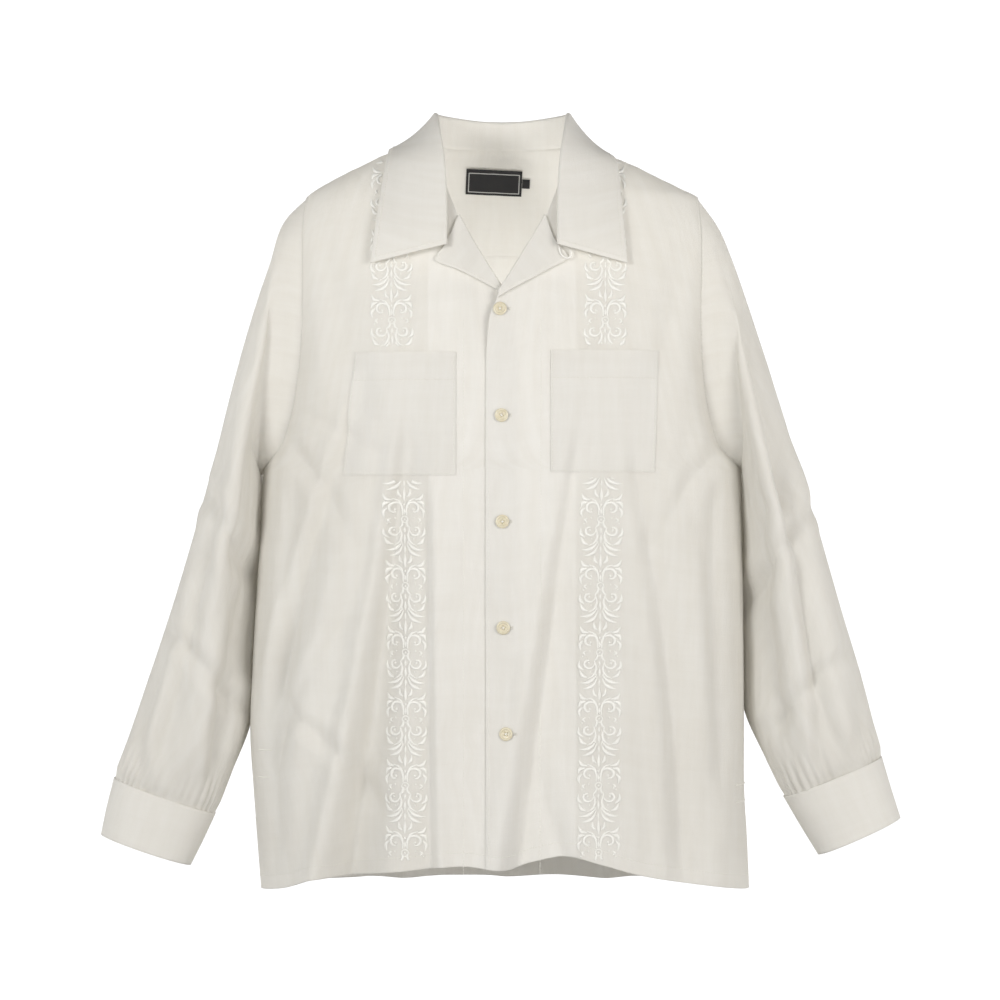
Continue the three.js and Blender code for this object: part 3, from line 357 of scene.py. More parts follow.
def fold_height(folds, x, z, face=None):
    """The height of a table's folds at places (x, z), on both faces or on one."""
    height = np.zeros(np.broadcast(x, z).shape)
    rows = np.array([folds[k] for k in FOLD.split()]).T
    for f, x0, z0, x1, z1, bow, w0, w1, d0, d1, ridge, skew in rows:
        dx, dz = x1 - x0, z1 - z0
        length = math.hypot(dx, dz)
        along = ((x - x0) * dx + (z - z0) * dz) / length
        share = np.clip(along / length, 0, 1)
        across = ((x - x0) * dz - (z - z0) * dx) / length - bow * 4 * share * (1 - share)
        width = lerp(w0, w1, share)
        over = (along - share * length) / (3 * width)
        across = across / (width * np.where(across < 0, 1 + skew, 1 - skew))
        profile = ridge * (np.exp(-((across - 1.9) ** 2)) + np.exp(-((across + 1.9) ** 2)))
        profile = (profile - np.exp(-np.abs(across) ** 1.6)) * lerp(d0, d1, share)
        profile *= np.exp(-(over**2))
        height += profile if face is None else profile * (face == f)
    return height


def ripple(a, b, seed, size):
    """Smooth, uneven small waves, between about -1 and 1, with crests along b."""
    rng = np.random.default_rng(seed)
    total = 0
    for _ in range(7):
        turn = rng.normal(0, 0.35)
        wave = 2 * math.pi / (size * rng.uniform(0.6, 1.7))
        phase = rng.uniform(0, 2 * math.pi, 2)
        bend = 0.8 * np.sin(b / (size * 2.7) + phase[1])
        across = a * math.cos(turn) + b * math.sin(turn) * 0.5
        total = total + np.sin(wave * across + bend + phase[0])
    return total / 4


def torso_fold(face, x, z):
    """The height of the body's folds, small waves and armhole seam over its smooth form."""
    folds = FRONT_FOLDS if face < 0 else BACK_FOLDS
    reach = np.where(z < UNDERARM_Z, torso_width(z, x), armhole_x(z))
    fade = ease(reach - np.abs(x), 2, 26)
    large = fold_height(folds, x, z) * fade * (1 - ease(z, -110, -50))
    small = 0.9 * ripple(x, z, 3 + face, 44) * ease(-z, 60, 260)
    small = small + 0.32 * ripple(x, z, 13 + face, 17)
    seam = np.exp(-(np.maximum(armhole_x(z) - np.abs(x), 0) / 11) ** 1.5)
    return large + small * fade - valley(face, x, z) * seam


def valley(face, side, z):
    """How deep the cloth sinks along the armhole's seam."""
    deep = np.where(side > 0, 9.0, 4.5) if face < 0 else 5.0
    return deep * ease(-z, 70, 250) * (1 - ease(-z, 262, 290))


def front_drop(side, x, z):
    """How far the right front lies under the left one near their overlap."""
    inner = FRONT_DROP + LAPEL_ROOM * ease(z, -200, -140)
    return 0 * x if side > 0 else inner * ease(x, -42, -20)


def front_form(side, x, z, lift=0.0):
    return torso(-1, x, z, lift + torso_fold(-1, x, z) - front_drop(side, x, z))


def front_of(side):
    """The form of one front, as a function of x and z."""
    return lambda x, z: front_form(side, x, z)


def back_form(x, z, lift=0.0):
    return torso(1, x, z, lift + torso_fold(1, x, z))


def with_normal(form, x, z, lift=0.0):
    """Points of a form moved out by lift along its true normal, and those normals."""
    x, z = np.broadcast_arrays(np.asarray(x, float), np.asarray(z, float))
    across = form(x + NEAR, z) - form(x - NEAR, z)
    up = form(x, z + NEAR) - form(x, z - NEAR)
    normal = unit(np.cross(across, up))
    normal *= np.where(normal[..., 1:2] * form(x, z)[..., 1:2] < 0, -1, 1)
    return form(x, z) + normal * np.asarray(lift, float)[..., None], normal


# ---------- Plans of the panels ----------
def arm_share(k):
    return (1 - np.cos(np.pi * k / ARM_ROWS)) / 2


def front_column_x(side, level, i):
    """Where a front's column i lies below the arm."""
    width = torso_width(level, side)
    share = (i - OVERLAP_COLUMNS) / (COLUMNS - OVERLAP_COLUMNS)
    spread = width * np.sin(lerp(np.arcsin(OVERLAP / width), np.pi / 2, np.clip(share, 0, 1)))
    lap = lerp(front_edge_x(level), OVERLAP, i / OVERLAP_COLUMNS)
    return np.where(i <= OVERLAP_COLUMNS, lap, spread)


def front_top(side, i):
    """Where a front's column i ends: on the lapel's roll, the neck seam or the shoulder."""
    z = lerp(NECK_Z, TIP_Z, (i - ROLL_COLUMNS - NECK_COLUMNS) / SHOULDER_COLUMNS)
    z = np.clip(z, TIP_Z, NECK_Z)
    on_roll, on_neck = i <= ROLL_COLUMNS, i <= ROLL_COLUMNS + NECK_COLUMNS
    a, b = i / ROLL_COLUMNS, (i - ROLL_COLUMNS) / NECK_COLUMNS
    x = np.where(on_roll, roll_x(a), np.where(on_neck, neck_x(b), torso_width(z, side)))
    return x, np.where(on_roll, roll_z(a), np.where(on_neck, neck_z(b), z))


def front_plan(side, i, j):
    """The place (x away from the middle, z) of column i and row j of a front."""
    low_share = np.clip(j / LOW_ROWS, 0, 1)
    level = lerp(HEM_Z, UNDERARM_Z, low_share)
    low_x = front_column_x(side, level, i)
    low_z = level + front_hem_rise(side * low_x) * (1 - low_share) ** 2
    share = arm_share(np.clip(j - LOW_ROWS, 0, ARM_ROWS))
    top_x, top_z = front_top(side, i)
    z = lerp(UNDERARM_Z, top_z, share)
    u = i / COLUMNS
    at_edge = front_edge_x(lerp(UNDERARM_Z, -126, share)) - lerp(-OVERLAP, -3, share)
    at_arm = armhole_x(z) - lerp(228, 187, share)
    x = lerp(front_column_x(side, UNDERARM_Z + 0 * i, i), top_x, share)
    x = x + at_edge * (1 - u) ** 5 + at_arm * u**5
    low = j <= LOW_ROWS
    return np.where(low, low_x, x), np.where(low, low_z, z)


def vent_opening(z):
    return np.clip((VENT_Z - z) / (VENT_Z - HEM_Z), 0, 1) * VENT_SPREAD


def back_x(u, z):
    width = torso_width(z, u)
    reach = np.where(z < UNDERARM_Z, width, armhole_x(z))
    return width * np.sin(u * np.arcsin(np.minimum(reach / width, 1)))


def arm_z(k):
    return lerp(UNDERARM_Z, TIP_Z, arm_share(k))


def yoke_plan(u, step):
    """The place (x, z) on the yoke at a share u of its width and a step up the armhole."""
    low = arm_share(YOKE_SEAM_ROW)
    share = (arm_share(step) - low) / (1 - low)
    seam_z = arm_z(YOKE_SEAM_ROW)
    out = np.abs(u)
    on_neck = out < BACK_NECK_SHARE
    on_shoulder = lerp(NECK_Z, TIP_Z, (out - BACK_NECK_SHARE) / (1 - BACK_NECK_SHARE))
    top_z = np.where(on_neck, NECK_Z, on_shoulder)
    neck = 70 * np.sin(np.clip(u / BACK_NECK_SHARE, -1, 1) * np.pi / 2)
    top_x = np.where(on_neck, neck, np.sign(u) * torso_width(top_z, u))
    z = lerp(seam_z, top_z, share)
    at_arm = armhole_x(z) - lerp(armhole_x(seam_z), armhole_x(TIP_Z), share)
    return lerp(back_x(u, seam_z + 0 * u), top_x, share) + np.sign(u) * at_arm * out**5, z


# ---------- Meshes ----------
def outward(points, towards, closed=False):
    """A grid's normals, on the side that looks towards a direction or away from a middle."""
    across = np.gradient(points, axis=1)
    if closed:
        ring = points[:, :-1]
        across = np.roll(ring, -1, 1) - np.roll(ring, 1, 1)
        across = np.concatenate([across, across[:, :1]], 1)
    normal = unit(np.cross(across, np.gradient(points, axis=0)))
    return normal if (normal * towards).sum(-1).mean() > 0 else -normal


def flat_uv(points):
    """Lengths along the rows and up the columns, in metres: the cloth's own threads."""
    du = np.linalg.norm(np.diff(points, axis=1), axis=-1)
    dv = np.linalg.norm(np.diff(points, axis=0), axis=-1)
    u = np.concatenate([np.zeros_like(du[:, :1]), np.cumsum(du, 1)], 1)
    v = np.concatenate([np.zeros_like(dv[:1]), np.cumsum(dv, 0)], 0)
    return np.stack([u - u[:, -1:] / 2, v], -1) * MM


def area_of(points):
    """The area of a grid's surface, in square metres."""
    a, b = points[1:, 1:] - points[:-1, :-1], points[1:, :-1] - points[:-1, 1:]
    return float(np.linalg.norm(np.cross(a, b), axis=-1).sum() / 2 * MM * MM)


def add_object(name, mesh, material):
    mesh.materials.append(material)
    obj = bpy.data.objects.new(name, mesh)
    bpy.context.scene.collection.objects.link(obj)
    return obj


def smooth_object(name, bm, material):
    """A smooth object from a bmesh, which is used up."""
    for face in bm.faces:
        face.smooth = True
    mesh = bpy.data.meshes.new(name)
    bm.to_mesh(mesh)
    bm.free()
    return add_object(name, mesh, material)


def spun(profile, count, weld, **options):
    """A bmesh turned about the z axis from places (radius, height)."""
    bm = bmesh.new()
    verts = [bm.verts.new((r, 0, z)) for r, z in profile]
    edges = [bm.edges.new(pair) for pair in zip(verts, verts[1:])]
    turn = {"axis": (0, 0, 1), "cent": (0, 0, 0), "angle": 2 * math.pi, "steps": count}
    bmesh.ops.spin(bm, geom=verts + edges, **turn, **options)
    bmesh.ops.remove_doubles(bm, verts=bm.verts, dist=weld)
    return bm


def grid_object(name, points, thickness, material, closed):
    """A sheet on a grid of points, given a real thickness."""
    rows, columns = points.shape[:2]
    bm = bmesh.new()
    bmesh.ops.create_grid(bm, x_segments=columns - 1, y_segments=rows - 1, size=0.5)
    uv = bm.loops.layers.uv.new("threads")
    flat = flat_uv(points)
    place = {}
    for v in bm.verts:
        i, j = round((v.co.x + 0.5) * (columns - 1)), round((v.co.y + 0.5) * (rows - 1))
        place[v] = (i, j)
        v.co = points[j, i] * MM
    for face in bm.faces:
        for loop in face.loops:
            i, j = place[loop.vert]
            loop[uv].uv = flat[j, i]
    if closed:
        bmesh.ops.remove_doubles(bm, verts=bm.verts, dist=1e-5)
    bmesh.ops.recalc_face_normals(bm, faces=bm.faces)
    obj = smooth_object(name, bm, material)
    solid = obj.modifiers.new("thickness", "SOLIDIFY")
    solid.thickness = thickness * MM
    solid.offset = 0
    solid.use_even_offset = False
    obj.modifiers.new("normals", "WEIGHTED_NORMAL").weight = 80
    return obj


# ---------- Materials ----------
def feed(tree, node, inputs):
    """Sets inputs of a node to values, or links them to outputs of other nodes."""
    for key, value in dict(inputs).items():
        if isinstance(value, bpy.types.NodeSocket):
            tree.links.new(value, node.inputs[key])
        else:
            node.inputs[key].default_value = value
    return node


def add(tree, kind, inputs=(), **settings):
    node = tree.nodes.new("ShaderNode" + kind)
    for key, value in settings.items():
        setattr(node, key, value)
    return feed(tree, node, inputs)


def calc(tree, operation, *values, clamp=False):
    return add(tree, "Math", enumerate(values), operation=operation, use_clamp=clamp).outputs[0]


def times(tree, vector, factors):
    inputs = {0: vector, 1: factors}
    return add(tree, "VectorMath", inputs, operation="MULTIPLY").outputs[0]


def noise(tree, vector, scale, detail, **inputs):
    inputs = {"Vector": vector, "Scale": scale, "Detail": detail, **inputs}
    return add(tree, "TexNoise", inputs).outputs["Fac"]


def waves(tree, length, pitch):
    return calc(tree, "SINE", calc(tree, "MULTIPLY", length, 2 * math.pi / pitch))


def blend(tree, factor, low, high):
    """A colour between two colours, or between a node's output and a colour."""
    low = low if isinstance(low, bpy.types.NodeSocket) else (*low, 1)
    inputs = {"A": low, "B": (*high, 1), "Factor": factor}
    return add(tree, "Mix", inputs, data_type="RGBA").outputs["Result"]


def eased(tree, value, low, high, start, end):
    """A smooth passage from start to end while a value goes from low to high."""
    inputs = {"Value": value, "From Min": low, "From Max": high, "To Min": start, "To Max": end}
    return add(tree, "MapRange", inputs, interpolation_type="SMOOTHSTEP").outputs[0]


def bump(tree, height, strength, distance, **inputs):
    inputs = {"Height": height, "Strength": strength, "Distance": distance, **inputs}
    return add(tree, "Bump", inputs).outputs["Normal"]


def apart(tree, vector):
    return add(tree, "SeparateXYZ", {0: vector}).outputs


def threads_of(tree):
    """The cloth's own lengths in metres."""
    return add(tree, "UVMap", uv_map="threads").outputs[0]


def object_place(tree):
    return add(tree, "TexCoord").outputs["Object"]


def new_material(name):
    material = bpy.data.materials.new(name)
    material.use_nodes = True
    return material, material.node_tree, material.node_tree.nodes["Principled BSDF"]


def new_group(name, outputs):
    """A node group that takes the cloth's own lengths and gives the named values."""
    group = bpy.data.node_groups.new(name, "ShaderNodeTree")
    group.interface.new_socket("Threads", in_out="INPUT", socket_type="NodeSocketVector")
    for socket in outputs:
        group.interface.new_socket(socket, in_out="OUTPUT", socket_type="NodeSocketFloat")
    inlet, outlet = group.nodes.new("NodeGroupInput"), group.nodes.new("NodeGroupOutput")
    return group, inlet.outputs["Threads"], outlet


WEAVE_PITCH = 0.00045
SLUBS = (((1.0, 0.03, 1.0), 900), ((0.03, 1.0, 1.0), 900))
STREAKS = (((1.0, 0.1, 1.0), 110), ((0.09, 1.0, 1.0), 80))


def weave_group():
    """Plain weave of uneven threads and soft streaks, from the cloth's own lengths."""
    group, threads, outlet = new_group("plain_weave", ("Height", "Tone"))
    u, v = apart(group, threads)[:2]
    weave = calc(group, "MULTIPLY", waves(group, u, WEAVE_PITCH), waves(group, v, WEAVE_PITCH))
    slubs = [noise(group, times(group, threads, stretch), scale, 2) for stretch, scale in SLUBS]
    slubs = calc(group, "ADD", *slubs)
    along_u, along_v = (
        noise(group, times(group, threads, stretch), scale, 3, Roughness=0.6)
        for stretch, scale in STREAKS
    )
    streak = calc(group, "MULTIPLY_ADD", along_v, 0.5, along_u)
    tone = calc(group, "MULTIPLY_ADD", slubs, 0.4, -1.15)
    tone = calc(group, "MULTIPLY_ADD", streak, 1.7, tone)
    height = calc(group, "MULTIPLY_ADD", weave, 0.25, slubs)
    feed(group, outlet, {"Height": height, "Tone": tone})
    return group


def filament_group():
    """Fine filaments along a thread and the twist across it, from its own lengths."""
    group, threads, outlet = new_group("satin_filaments", ("Height",))
    u, v = apart(group, threads)[:2]
    slant = calc(group, "MULTIPLY_ADD", v, 0.35, u)
    rough = noise(group, threads, 1600, 1)
    height = calc(group, "MULTIPLY_ADD", rough, 0.7, waves(group, slant, 0.00042))
    feed(group, outlet, {"Height": height})
    return group


WEAVE, FILAMENTS = weave_group(), filament_group()
WHITE, CREAM = (0.945, 0.932, 0.896), (0.895, 0.874, 0.824)
FACED_SHARE = 0.72  # how much of its light still passes where a facing lies behind the cloth


def cloth_material(name, lets_through=0.4, facing=None):
    """Cotton that lets light through, less of it up to `facing` metres from the middle."""
    material, tree, shader = new_material(name)
    place = object_place(tree)
    weave = add(tree, "Group", node_tree=WEAVE)
    feed(tree, weave, {"Threads": threads_of(tree)})
    cloud = calc(tree, "MULTIPLY_ADD", noise(tree, place, 7, 4), 0.9, -0.45)
    tone = calc(tree, "MULTIPLY_ADD", weave.outputs["Tone"], 0.8, cloud)
    colour = blend(tree, calc(tree, "ADD", tone, 0.15, clamp=True), CREAM, WHITE)
    creases = noise(tree, times(tree, place, (1, 1, 0.45)), 38, 5, Roughness=0.55)
    soft = bump(tree, creases, 0.5, 0.0026)
    normal = bump(tree, weave.outputs["Height"], 0.6, 0.00012, Normal=soft)
    look = {"Base Color": colour, "Normal": normal, "Roughness": 0.85}
    look |= {"Specular IOR Level": 0.25, "Sheen Weight": 0.15, "Sheen Roughness": 0.5}
    feed(tree, shader, look)
    lit = add(tree, "BsdfTranslucent", {"Color": colour, "Normal": normal})
    share = lets_through
    if facing:
        out = calc(tree, "ABSOLUTE", apart(tree, place)[0])
        share = eased(
            tree, out, facing - 0.0012, facing + 0.0012, lets_through * FACED_SHARE, lets_through
        )
    both = add(tree, "MixShader", {"Fac": share, 1: shader.outputs[0], 2: lit.outputs[0]})
    feed(tree, tree.nodes["Material Output"], {"Surface": both.outputs[0]})
    return material


def thread_material(name, colour, rough, depth):
    """Thread or cord with filaments of a depth."""
    material, tree, shader = new_material(name)
    filaments = add(tree, "Group", node_tree=FILAMENTS)
    feed(tree, filaments, {"Threads": threads_of(tree)})
    look = {"Base Color": (*colour, 1), "Roughness": rough}
    look["Normal"] = bump(tree, filaments.outputs["Height"], 0.7, depth)
    feed(tree, shader, look | {"Specular IOR Level": 0.35, "Sheen Weight": 0.2})
    return material


def resin_material(name):
    """Clouded cream resin."""
    material, tree, shader = new_material(name)
    cloud = noise(tree, object_place(tree), 160, 3, Distortion=1.2)
    look = {"Base Color": blend(tree, cloud, (0.60, 0.53, 0.36), (0.80, 0.75, 0.60))}
    look |= {"Roughness": 0.3, "Specular IOR Level": 0.5}
    look |= {"Subsurface Weight": 0.15, "Subsurface Radius": (0.002, 0.0016, 0.001)}
    feed(tree, shader, look)
    return material


def label_material(name, size=None):
    """Black damask and, for a size, a plain frame line near that label's edge."""
    material, tree, shader = new_material(name)
    u, v = apart(tree, threads_of(tree))[:2]
    grain = waves(tree, v, 0.0006)
    tone = calc(tree, "MULTIPLY_ADD", grain, 0.25, 0.4, clamp=True)
    colour = blend(tree, tone, (0.006, 0.006, 0.007), (0.022, 0.021, 0.022))
    if size:
        up = calc(tree, "ABSOLUTE", calc(tree, "SUBTRACT", v, size["high"] / 2 * MM))
        from_side = calc(tree, "SUBTRACT", size["wide"] / 2 * MM, calc(tree, "ABSOLUTE", u))
        from_top = calc(tree, "SUBTRACT", size["high"] / 2 * MM, up)
        nearest = calc(tree, "MINIMUM", from_side, from_top)
        line = calc(tree, "COMPARE", nearest, 0.0027, 0.0004)
        colour = blend(tree, line, colour, (0.55, 0.55, 0.53))
    normal = bump(tree, grain, 1, 0.00008)
    feed(tree, shader, {"Base Color": colour, "Normal": normal, "Roughness": 0.55})
    return material


IVORY = cloth_material("ivory_cotton")
FACED = cloth_material("ivory_cotton_faced", facing=0.069)
LAYERED = cloth_material("ivory_cotton_double", lets_through=0.33)
SHEER = cloth_material("ivory_cotton_back", lets_through=0.32)
THREAD = thread_material("sewing_thread", (0.89, 0.87, 0.81), 0.7, 0.00004)
SATIN = thread_material("embroidery_satin", (0.985, 0.975, 0.925), 0.45, 0.00009)
CORD = thread_material("loop_cord", (0.90, 0.885, 0.84), 0.6, 0.00012)
RESIN = resin_material("cream_resin")


# ---------- Panels ----------
def front_points(side, i, j):
    x, z = front_plan(side, i, j)
    points = front_form(side, side * x, z)
    points[..., 1] -= vent_opening(z) * (i / COLUMNS) ** 8
    return points


PIECES = {}
SHEETS = []


def lay(name, points, thickness, held="hung", closed=False, material=IVORY, rests_on=()):
    """A sheet in place of the node with its name."""
    obj = grid_object(name + "_cloth", points, thickness, material, closed)
    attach(obj, "root")
    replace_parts(obj, name)
    PIECES[name] = (obj, points)
    wide = np.linalg.norm(np.diff(points, axis=1), axis=-1).sum(1).max() * MM
    high = np.linalg.norm(np.diff(points, axis=0), axis=-1).sum(0).max() * MM
    if min(wide, high) > LEAST_SHEET:
        SHEETS.append((obj, (wide, high), held, area_of(points), rests_on))


FRONT_I = np.concatenate([steps(0, 2, 14), steps(2, COLUMNS, 125)[1:]])
LOW_J = np.concatenate([steps(0, 0.5, 15), steps(0.5, LOW_ROWS, 115)[1:]])
FRONT_J = np.concatenate([LOW_J, steps(LOW_ROWS, LOW_ROWS + ARM_ROWS, 80)[1:]])
BACK_J = np.concatenate([LOW_J, steps(LOW_ROWS, LOW_ROWS + YOKE_SEAM_ROW, 51)[1:]])
for side, name in SIDES:
    lay("front_" + name, front_points(side, *np.meshgrid(FRONT_I, FRONT_J)), CLOTH, material=FACED)


def back_points(u, j):
    low = lerp(HEM_Z, UNDERARM_Z, np.clip(j / LOW_ROWS, 0, 1))
    z = np.where(j <= LOW_ROWS, low, arm_z(j - LOW_ROWS))
    x = back_x(u, z)
    points = back_form(x, z)
    points[..., 1] += vent_opening(z) * np.abs(u) ** 8
    return points


lay("back", back_points(*np.meshgrid(steps(-1, 1, 181), BACK_J)), CLOTH, material=SHEER)
YOKE_GRID = np.meshgrid(steps(-1, 1, 161), steps(YOKE_SEAM_ROW, ARM_ROWS, 33))
lay("yoke", back_form(*yoke_plan(*YOKE_GRID)), CLOTH, material=SHEER)


# ---------- Sleeves and cuffs ----------
def ring_points(rows, angle):
    """Rounded rings, one for each row; angle 0 is outermost and a quarter turn is in front."""

    def rounded(value):
        return np.sign(value) * np.abs(value) ** (2 / SLEEVE_POWER)

    c, s = rounded(np.cos(angle)), rounded(np.sin(angle))
    shape = (-1,) + (1,) * np.ndim(angle)
    out_x, out_z, in_x, in_z, depth, middle = (rows[k].reshape(shape) for k in RING.split())
    x = (out_x + in_x) / 2 + (out_x - in_x) / 2 * c
    z = (out_z + in_z) / 2 + (out_z - in_z) / 2 * c
    return np.stack([x, middle - depth * s, z], -1)


def along(points, share):
    """Smooth lines through points[k], met at shares of their length."""
    gaps = np.maximum(np.linalg.norm(np.diff(points, axis=0), axis=-1), 1e-6)
    slope = np.diff(points, axis=0) / gaps[..., None]
    tangent = np.empty_like(points)
    tangent[0], tangent[-1] = slope[0], slope[-1]
    before, after = gaps[:-1, ..., None], gaps[1:, ..., None]
    tangent[1:-1] = (slope[:-1] * after + slope[1:] * before) / (before + after)
    mean = gaps.reshape(len(gaps), -1).mean(1)
    knots = np.concatenate([[0], np.cumsum(mean)])
    q = np.clip(share, 0, 1) * knots[-1]
    k = np.clip(np.searchsorted(knots, q) - 1, 0, len(mean) - 1)
    t = ((q - knots[k]) / mean[k]).reshape((-1,) + (1,) * (points.ndim - 1))
    step = gaps[k][..., None]
    return hermite(t, step, points[k], points[k + 1], tangent[k], tangent[k + 1])


def armhole_points(angle, side):
    """The armhole's edge, with x away from the middle."""
    z = lerp(UNDERARM_Z, TIP_Z, (1 + np.cos(angle)) / 2)
    x = side * armhole_x(z)
    points = [torso(face, x, z, -valley(face, x, z)) for face in (-1, 1)]
    points = np.where(np.sin(angle)[..., None] > 0, *points)
    points[..., 0] *= side
    return points


def away_from(v, direction):
    """The part of v across a direction."""
    return v - direction * (v * direction).sum(-1, keepdims=True)


# How far each ring's inner side leans back past the body's side, against which it rests.
INNER_LEAN = np.array([0, 0.5, 1, 1, 1, 1, 0.9, 0.5, 0, 0])[:, None]


def sleeve_base(side, angle, share):
    """The sleeve's smooth form; it starts tucked under the armhole's edge."""
    rings = ring_points(SLEEVE[side], angle)
    inner = ease(-np.cos(angle), 0.2, 0.9)[None] * INNER_LEAN
    rings[..., 1] += 27 * inner
    rings[..., 0] -= 5.2 * inner
    start = armhole_points(angle, side)
    run = unit(armhole_points(angle + 0.01, side) - armhole_points(angle - 0.01, side))
    away = unit(away_from(rings[0] - start, run))
    inside = away_from(rings.mean((0, 1)) * (0, 0, 1) + (150, 0, 0) - start, away)
    tucked = start - away * 1.6 + unit(inside) * 0.95
    return along(np.concatenate([tucked[None], rings]), share)


def sleeve_points(side, angle, share):
    """The sleeve with its folds and gathers; it ends tucked inside the cuff."""
    base = sleeve_base(side, angle, share)
    normal = outward(base, base - base.mean(1, keepdims=True), closed=True)
    face = np.where(np.sin(angle) > 0, -1, 1)[None, :] * np.ones((len(share), 1))
    edge = ease(np.abs(np.sin(angle)), 0.15, 0.6)[None] * ease(share, 0.02, 0.12)[:, None]
    held = edge * lerp(1, 0.2, ease(share, 0.9, 1))[:, None]
    height = fold_height(SLEEVE_FOLDS[side], side * base[..., 0], base[..., 2], face) * held
    x, y, z = np.moveaxis(base, -1, 0)
    height += 1.0 * ripple(x + y, z, 20 + side, 40) * edge
    height += 0.4 * ripple(x - y, z + x, 30 + side, 19) * edge
    uneven = 0.6 + 0.4 * np.sin(3 * angle + side)
    gathers = np.sin(38 * angle + 1.3 * np.sin(7 * angle)) * uneven
    height += 1.1 * gathers[None] * ease(share, 0.9, 0.985)[:, None]
    turn = np.mod(angle - CUFF_START, 2 * math.pi) / (2 * math.pi + CUFF_OVERLAP)
    below = ease(turn, 0.72, 0.9)
    under = 1.4 - lerp(-CUFF_LIFT, CUFF_LIFT, turn) * (1 - below) + CUFF_LIFT * below
    height -= under[None] * ease(share, 0.975, 0.995)[:, None]
    points = base + normal * height[..., None]
    points += unit(base[-1] - base[-4]) * 3.5 * ease(share, 0.97, 1)[:, None, None]
    clear = beside_body(side, points[..., 1], points[..., 2])
    points[..., 0] = side * np.maximum(points[..., 0], clear)
    return points


def beside_body(side, y, z):
    """The least x, away from the middle, that leaves a sleeve clear of the body's side."""
    depth = np.where(y < 0, DEPTH[-1](z), DEPTH[1](z))
    share = np.clip(np.abs(y) / depth, 0, 1)
    power = torso_power(z)
    body = torso_width(z, side + 0 * z) * (1 - share**power) ** (1 / power)
    return np.where(z < UNDERARM_Z - 6, body + 1.3 * ease(-z, 296, 312), 0)


def cuff_points(side, angle, share, lift):
    """A cuff's rings, moved out by a lift for each angle, so its ends can overlap."""
    base = along(ring_points(CUFF[side], angle), share)
    points = base + outward(base, base - base.mean(1, keepdims=True)) * lift[None, :, None]
    points[..., 0] *= side
    return points


DOWN = [steps(0, 0.08, 14), steps(0.08, 0.93, 110)[1:], steps(0.93, 1, 18)[1:]]
for side, name in SIDES:
    points = sleeve_points(side, steps(0, 2 * math.pi, 217), np.concatenate(DOWN))
    lay("sleeve_" + name, points, CLOTH, closed=True)
    u = steps(0, 1, 131)
    lift = lerp(-CUFF_LIFT, CUFF_LIFT, u)
    points = cuff_points(side, CUFF_START + CUFF_TURN * u, steps(0, 1, 25), lift)
    lay("cuff_" + name, points, DOUBLE, material=LAYERED)

# ---------- Collar and lapels ----------
collar_columns = {k: column(COLLAR, None, k) for k in COLLAR}


def collar_points(u, rows=34):
    """Lines from the neck seam up the stand, round its fold and down the leaf to its edge."""
    side = np.where(u < 0.5, 1, -1)
    half = 1 - np.abs(1 - 2 * u)
    at = {k: collar_columns[k](half) for k in COLLAR}
    seam, fold, edge = (np.stack([at[line + c] for c in "xyz"], -1) for line in "sfe")
    edge[:, 0] += np.where(side > 0, 0, LEAF_SPREAD[-1]) * (1 - ease(half, 0, 0.4))
    edge[:, 0] -= np.where(side > 0, at["inwards"], 0)
    edge[:, 2] -= np.where(side > 0, at["drop"], 0)
    bulge = at["bulge"][:, None]
    to_seam, to_edge = unit(seam - fold), unit(edge - fold)
    up = -unit(to_seam + to_edge)
    out = unit(away_from(edge - seam, up))
    centre = fold - up * COLLAR_FOLD

    def turned(a):
        return centre + out * COLLAR_FOLD * math.cos(a) + up * COLLAR_FOLD * math.sin(a)

    normal = unit(away_from(up, to_edge))
    # The seam allowance turns down inside the neck.
    inwards = -unit(seam * (1, 1, 0))
    tucked = seam + (inwards * 0.9 - np.array([0, 0, 2.4])) * ease(half, 0.4, 0.55)[:, None]
    turn = steps(0, 1, 8)
    lines = [lerp(tucked, turned(math.pi), t) for t in turn[:-1]]
    lines += [turned(math.pi * (1 - t)) for t in turn]
    for t in steps(0, 1, rows - 14)[1:]:
        lines.append(lerp(turned(0), edge, t) + normal * bulge * 4 * t * (1 - t))
    points = np.stack(lines)
    points[..., 0] *= side
    return points


lay("collar", collar_points(steps(0, 1, 221)), DOUBLE, material=LAYERED)


def lapel_points(side, columns=36, rows=26):
    """Lines from the roll round the lapel's fold to its edge."""
    u = steps(0, 1, columns)[None, :]
    x, z = roll_x(u), roll_z(u)
    before, after = np.maximum(u - 0.01, 0), np.minimum(u + 0.01, 1)
    run = unit(np.stack([roll_x(after) - roll_x(before), roll_z(after) - roll_z(before)], -1))
    past_x, past_z = -run[..., 1], run[..., 0]
    edge_x, edge_z = (column(LAPEL_EDGE[side], None, key)(u) for key in "xz")
    lines = []
    for a in steps(-math.pi / 2, math.pi / 2, 9):
        out = 0.4 + 1.1 * math.cos(a)
        lines.append((x + past_x * out, z + past_z * out, LAPEL_FOLD * (1 + math.sin(a)) + 0 * u))
    x, z = x + past_x * 0.4, z + past_z * 0.4
    for t in steps(0, 1, rows - 8)[1:]:
        lines.append((lerp(x, edge_x, t), lerp(z, edge_z, t), 2 * LAPEL_FOLD + 0 * u))
    px, pz, lift = (np.concatenate(part) for part in zip(*lines))
    return front_form(side, side * px, pz, lift)


for side, name in SIDES:
    lay("lapel_" + name, lapel_points(side), CLOTH, held="folded", material=LAYERED)


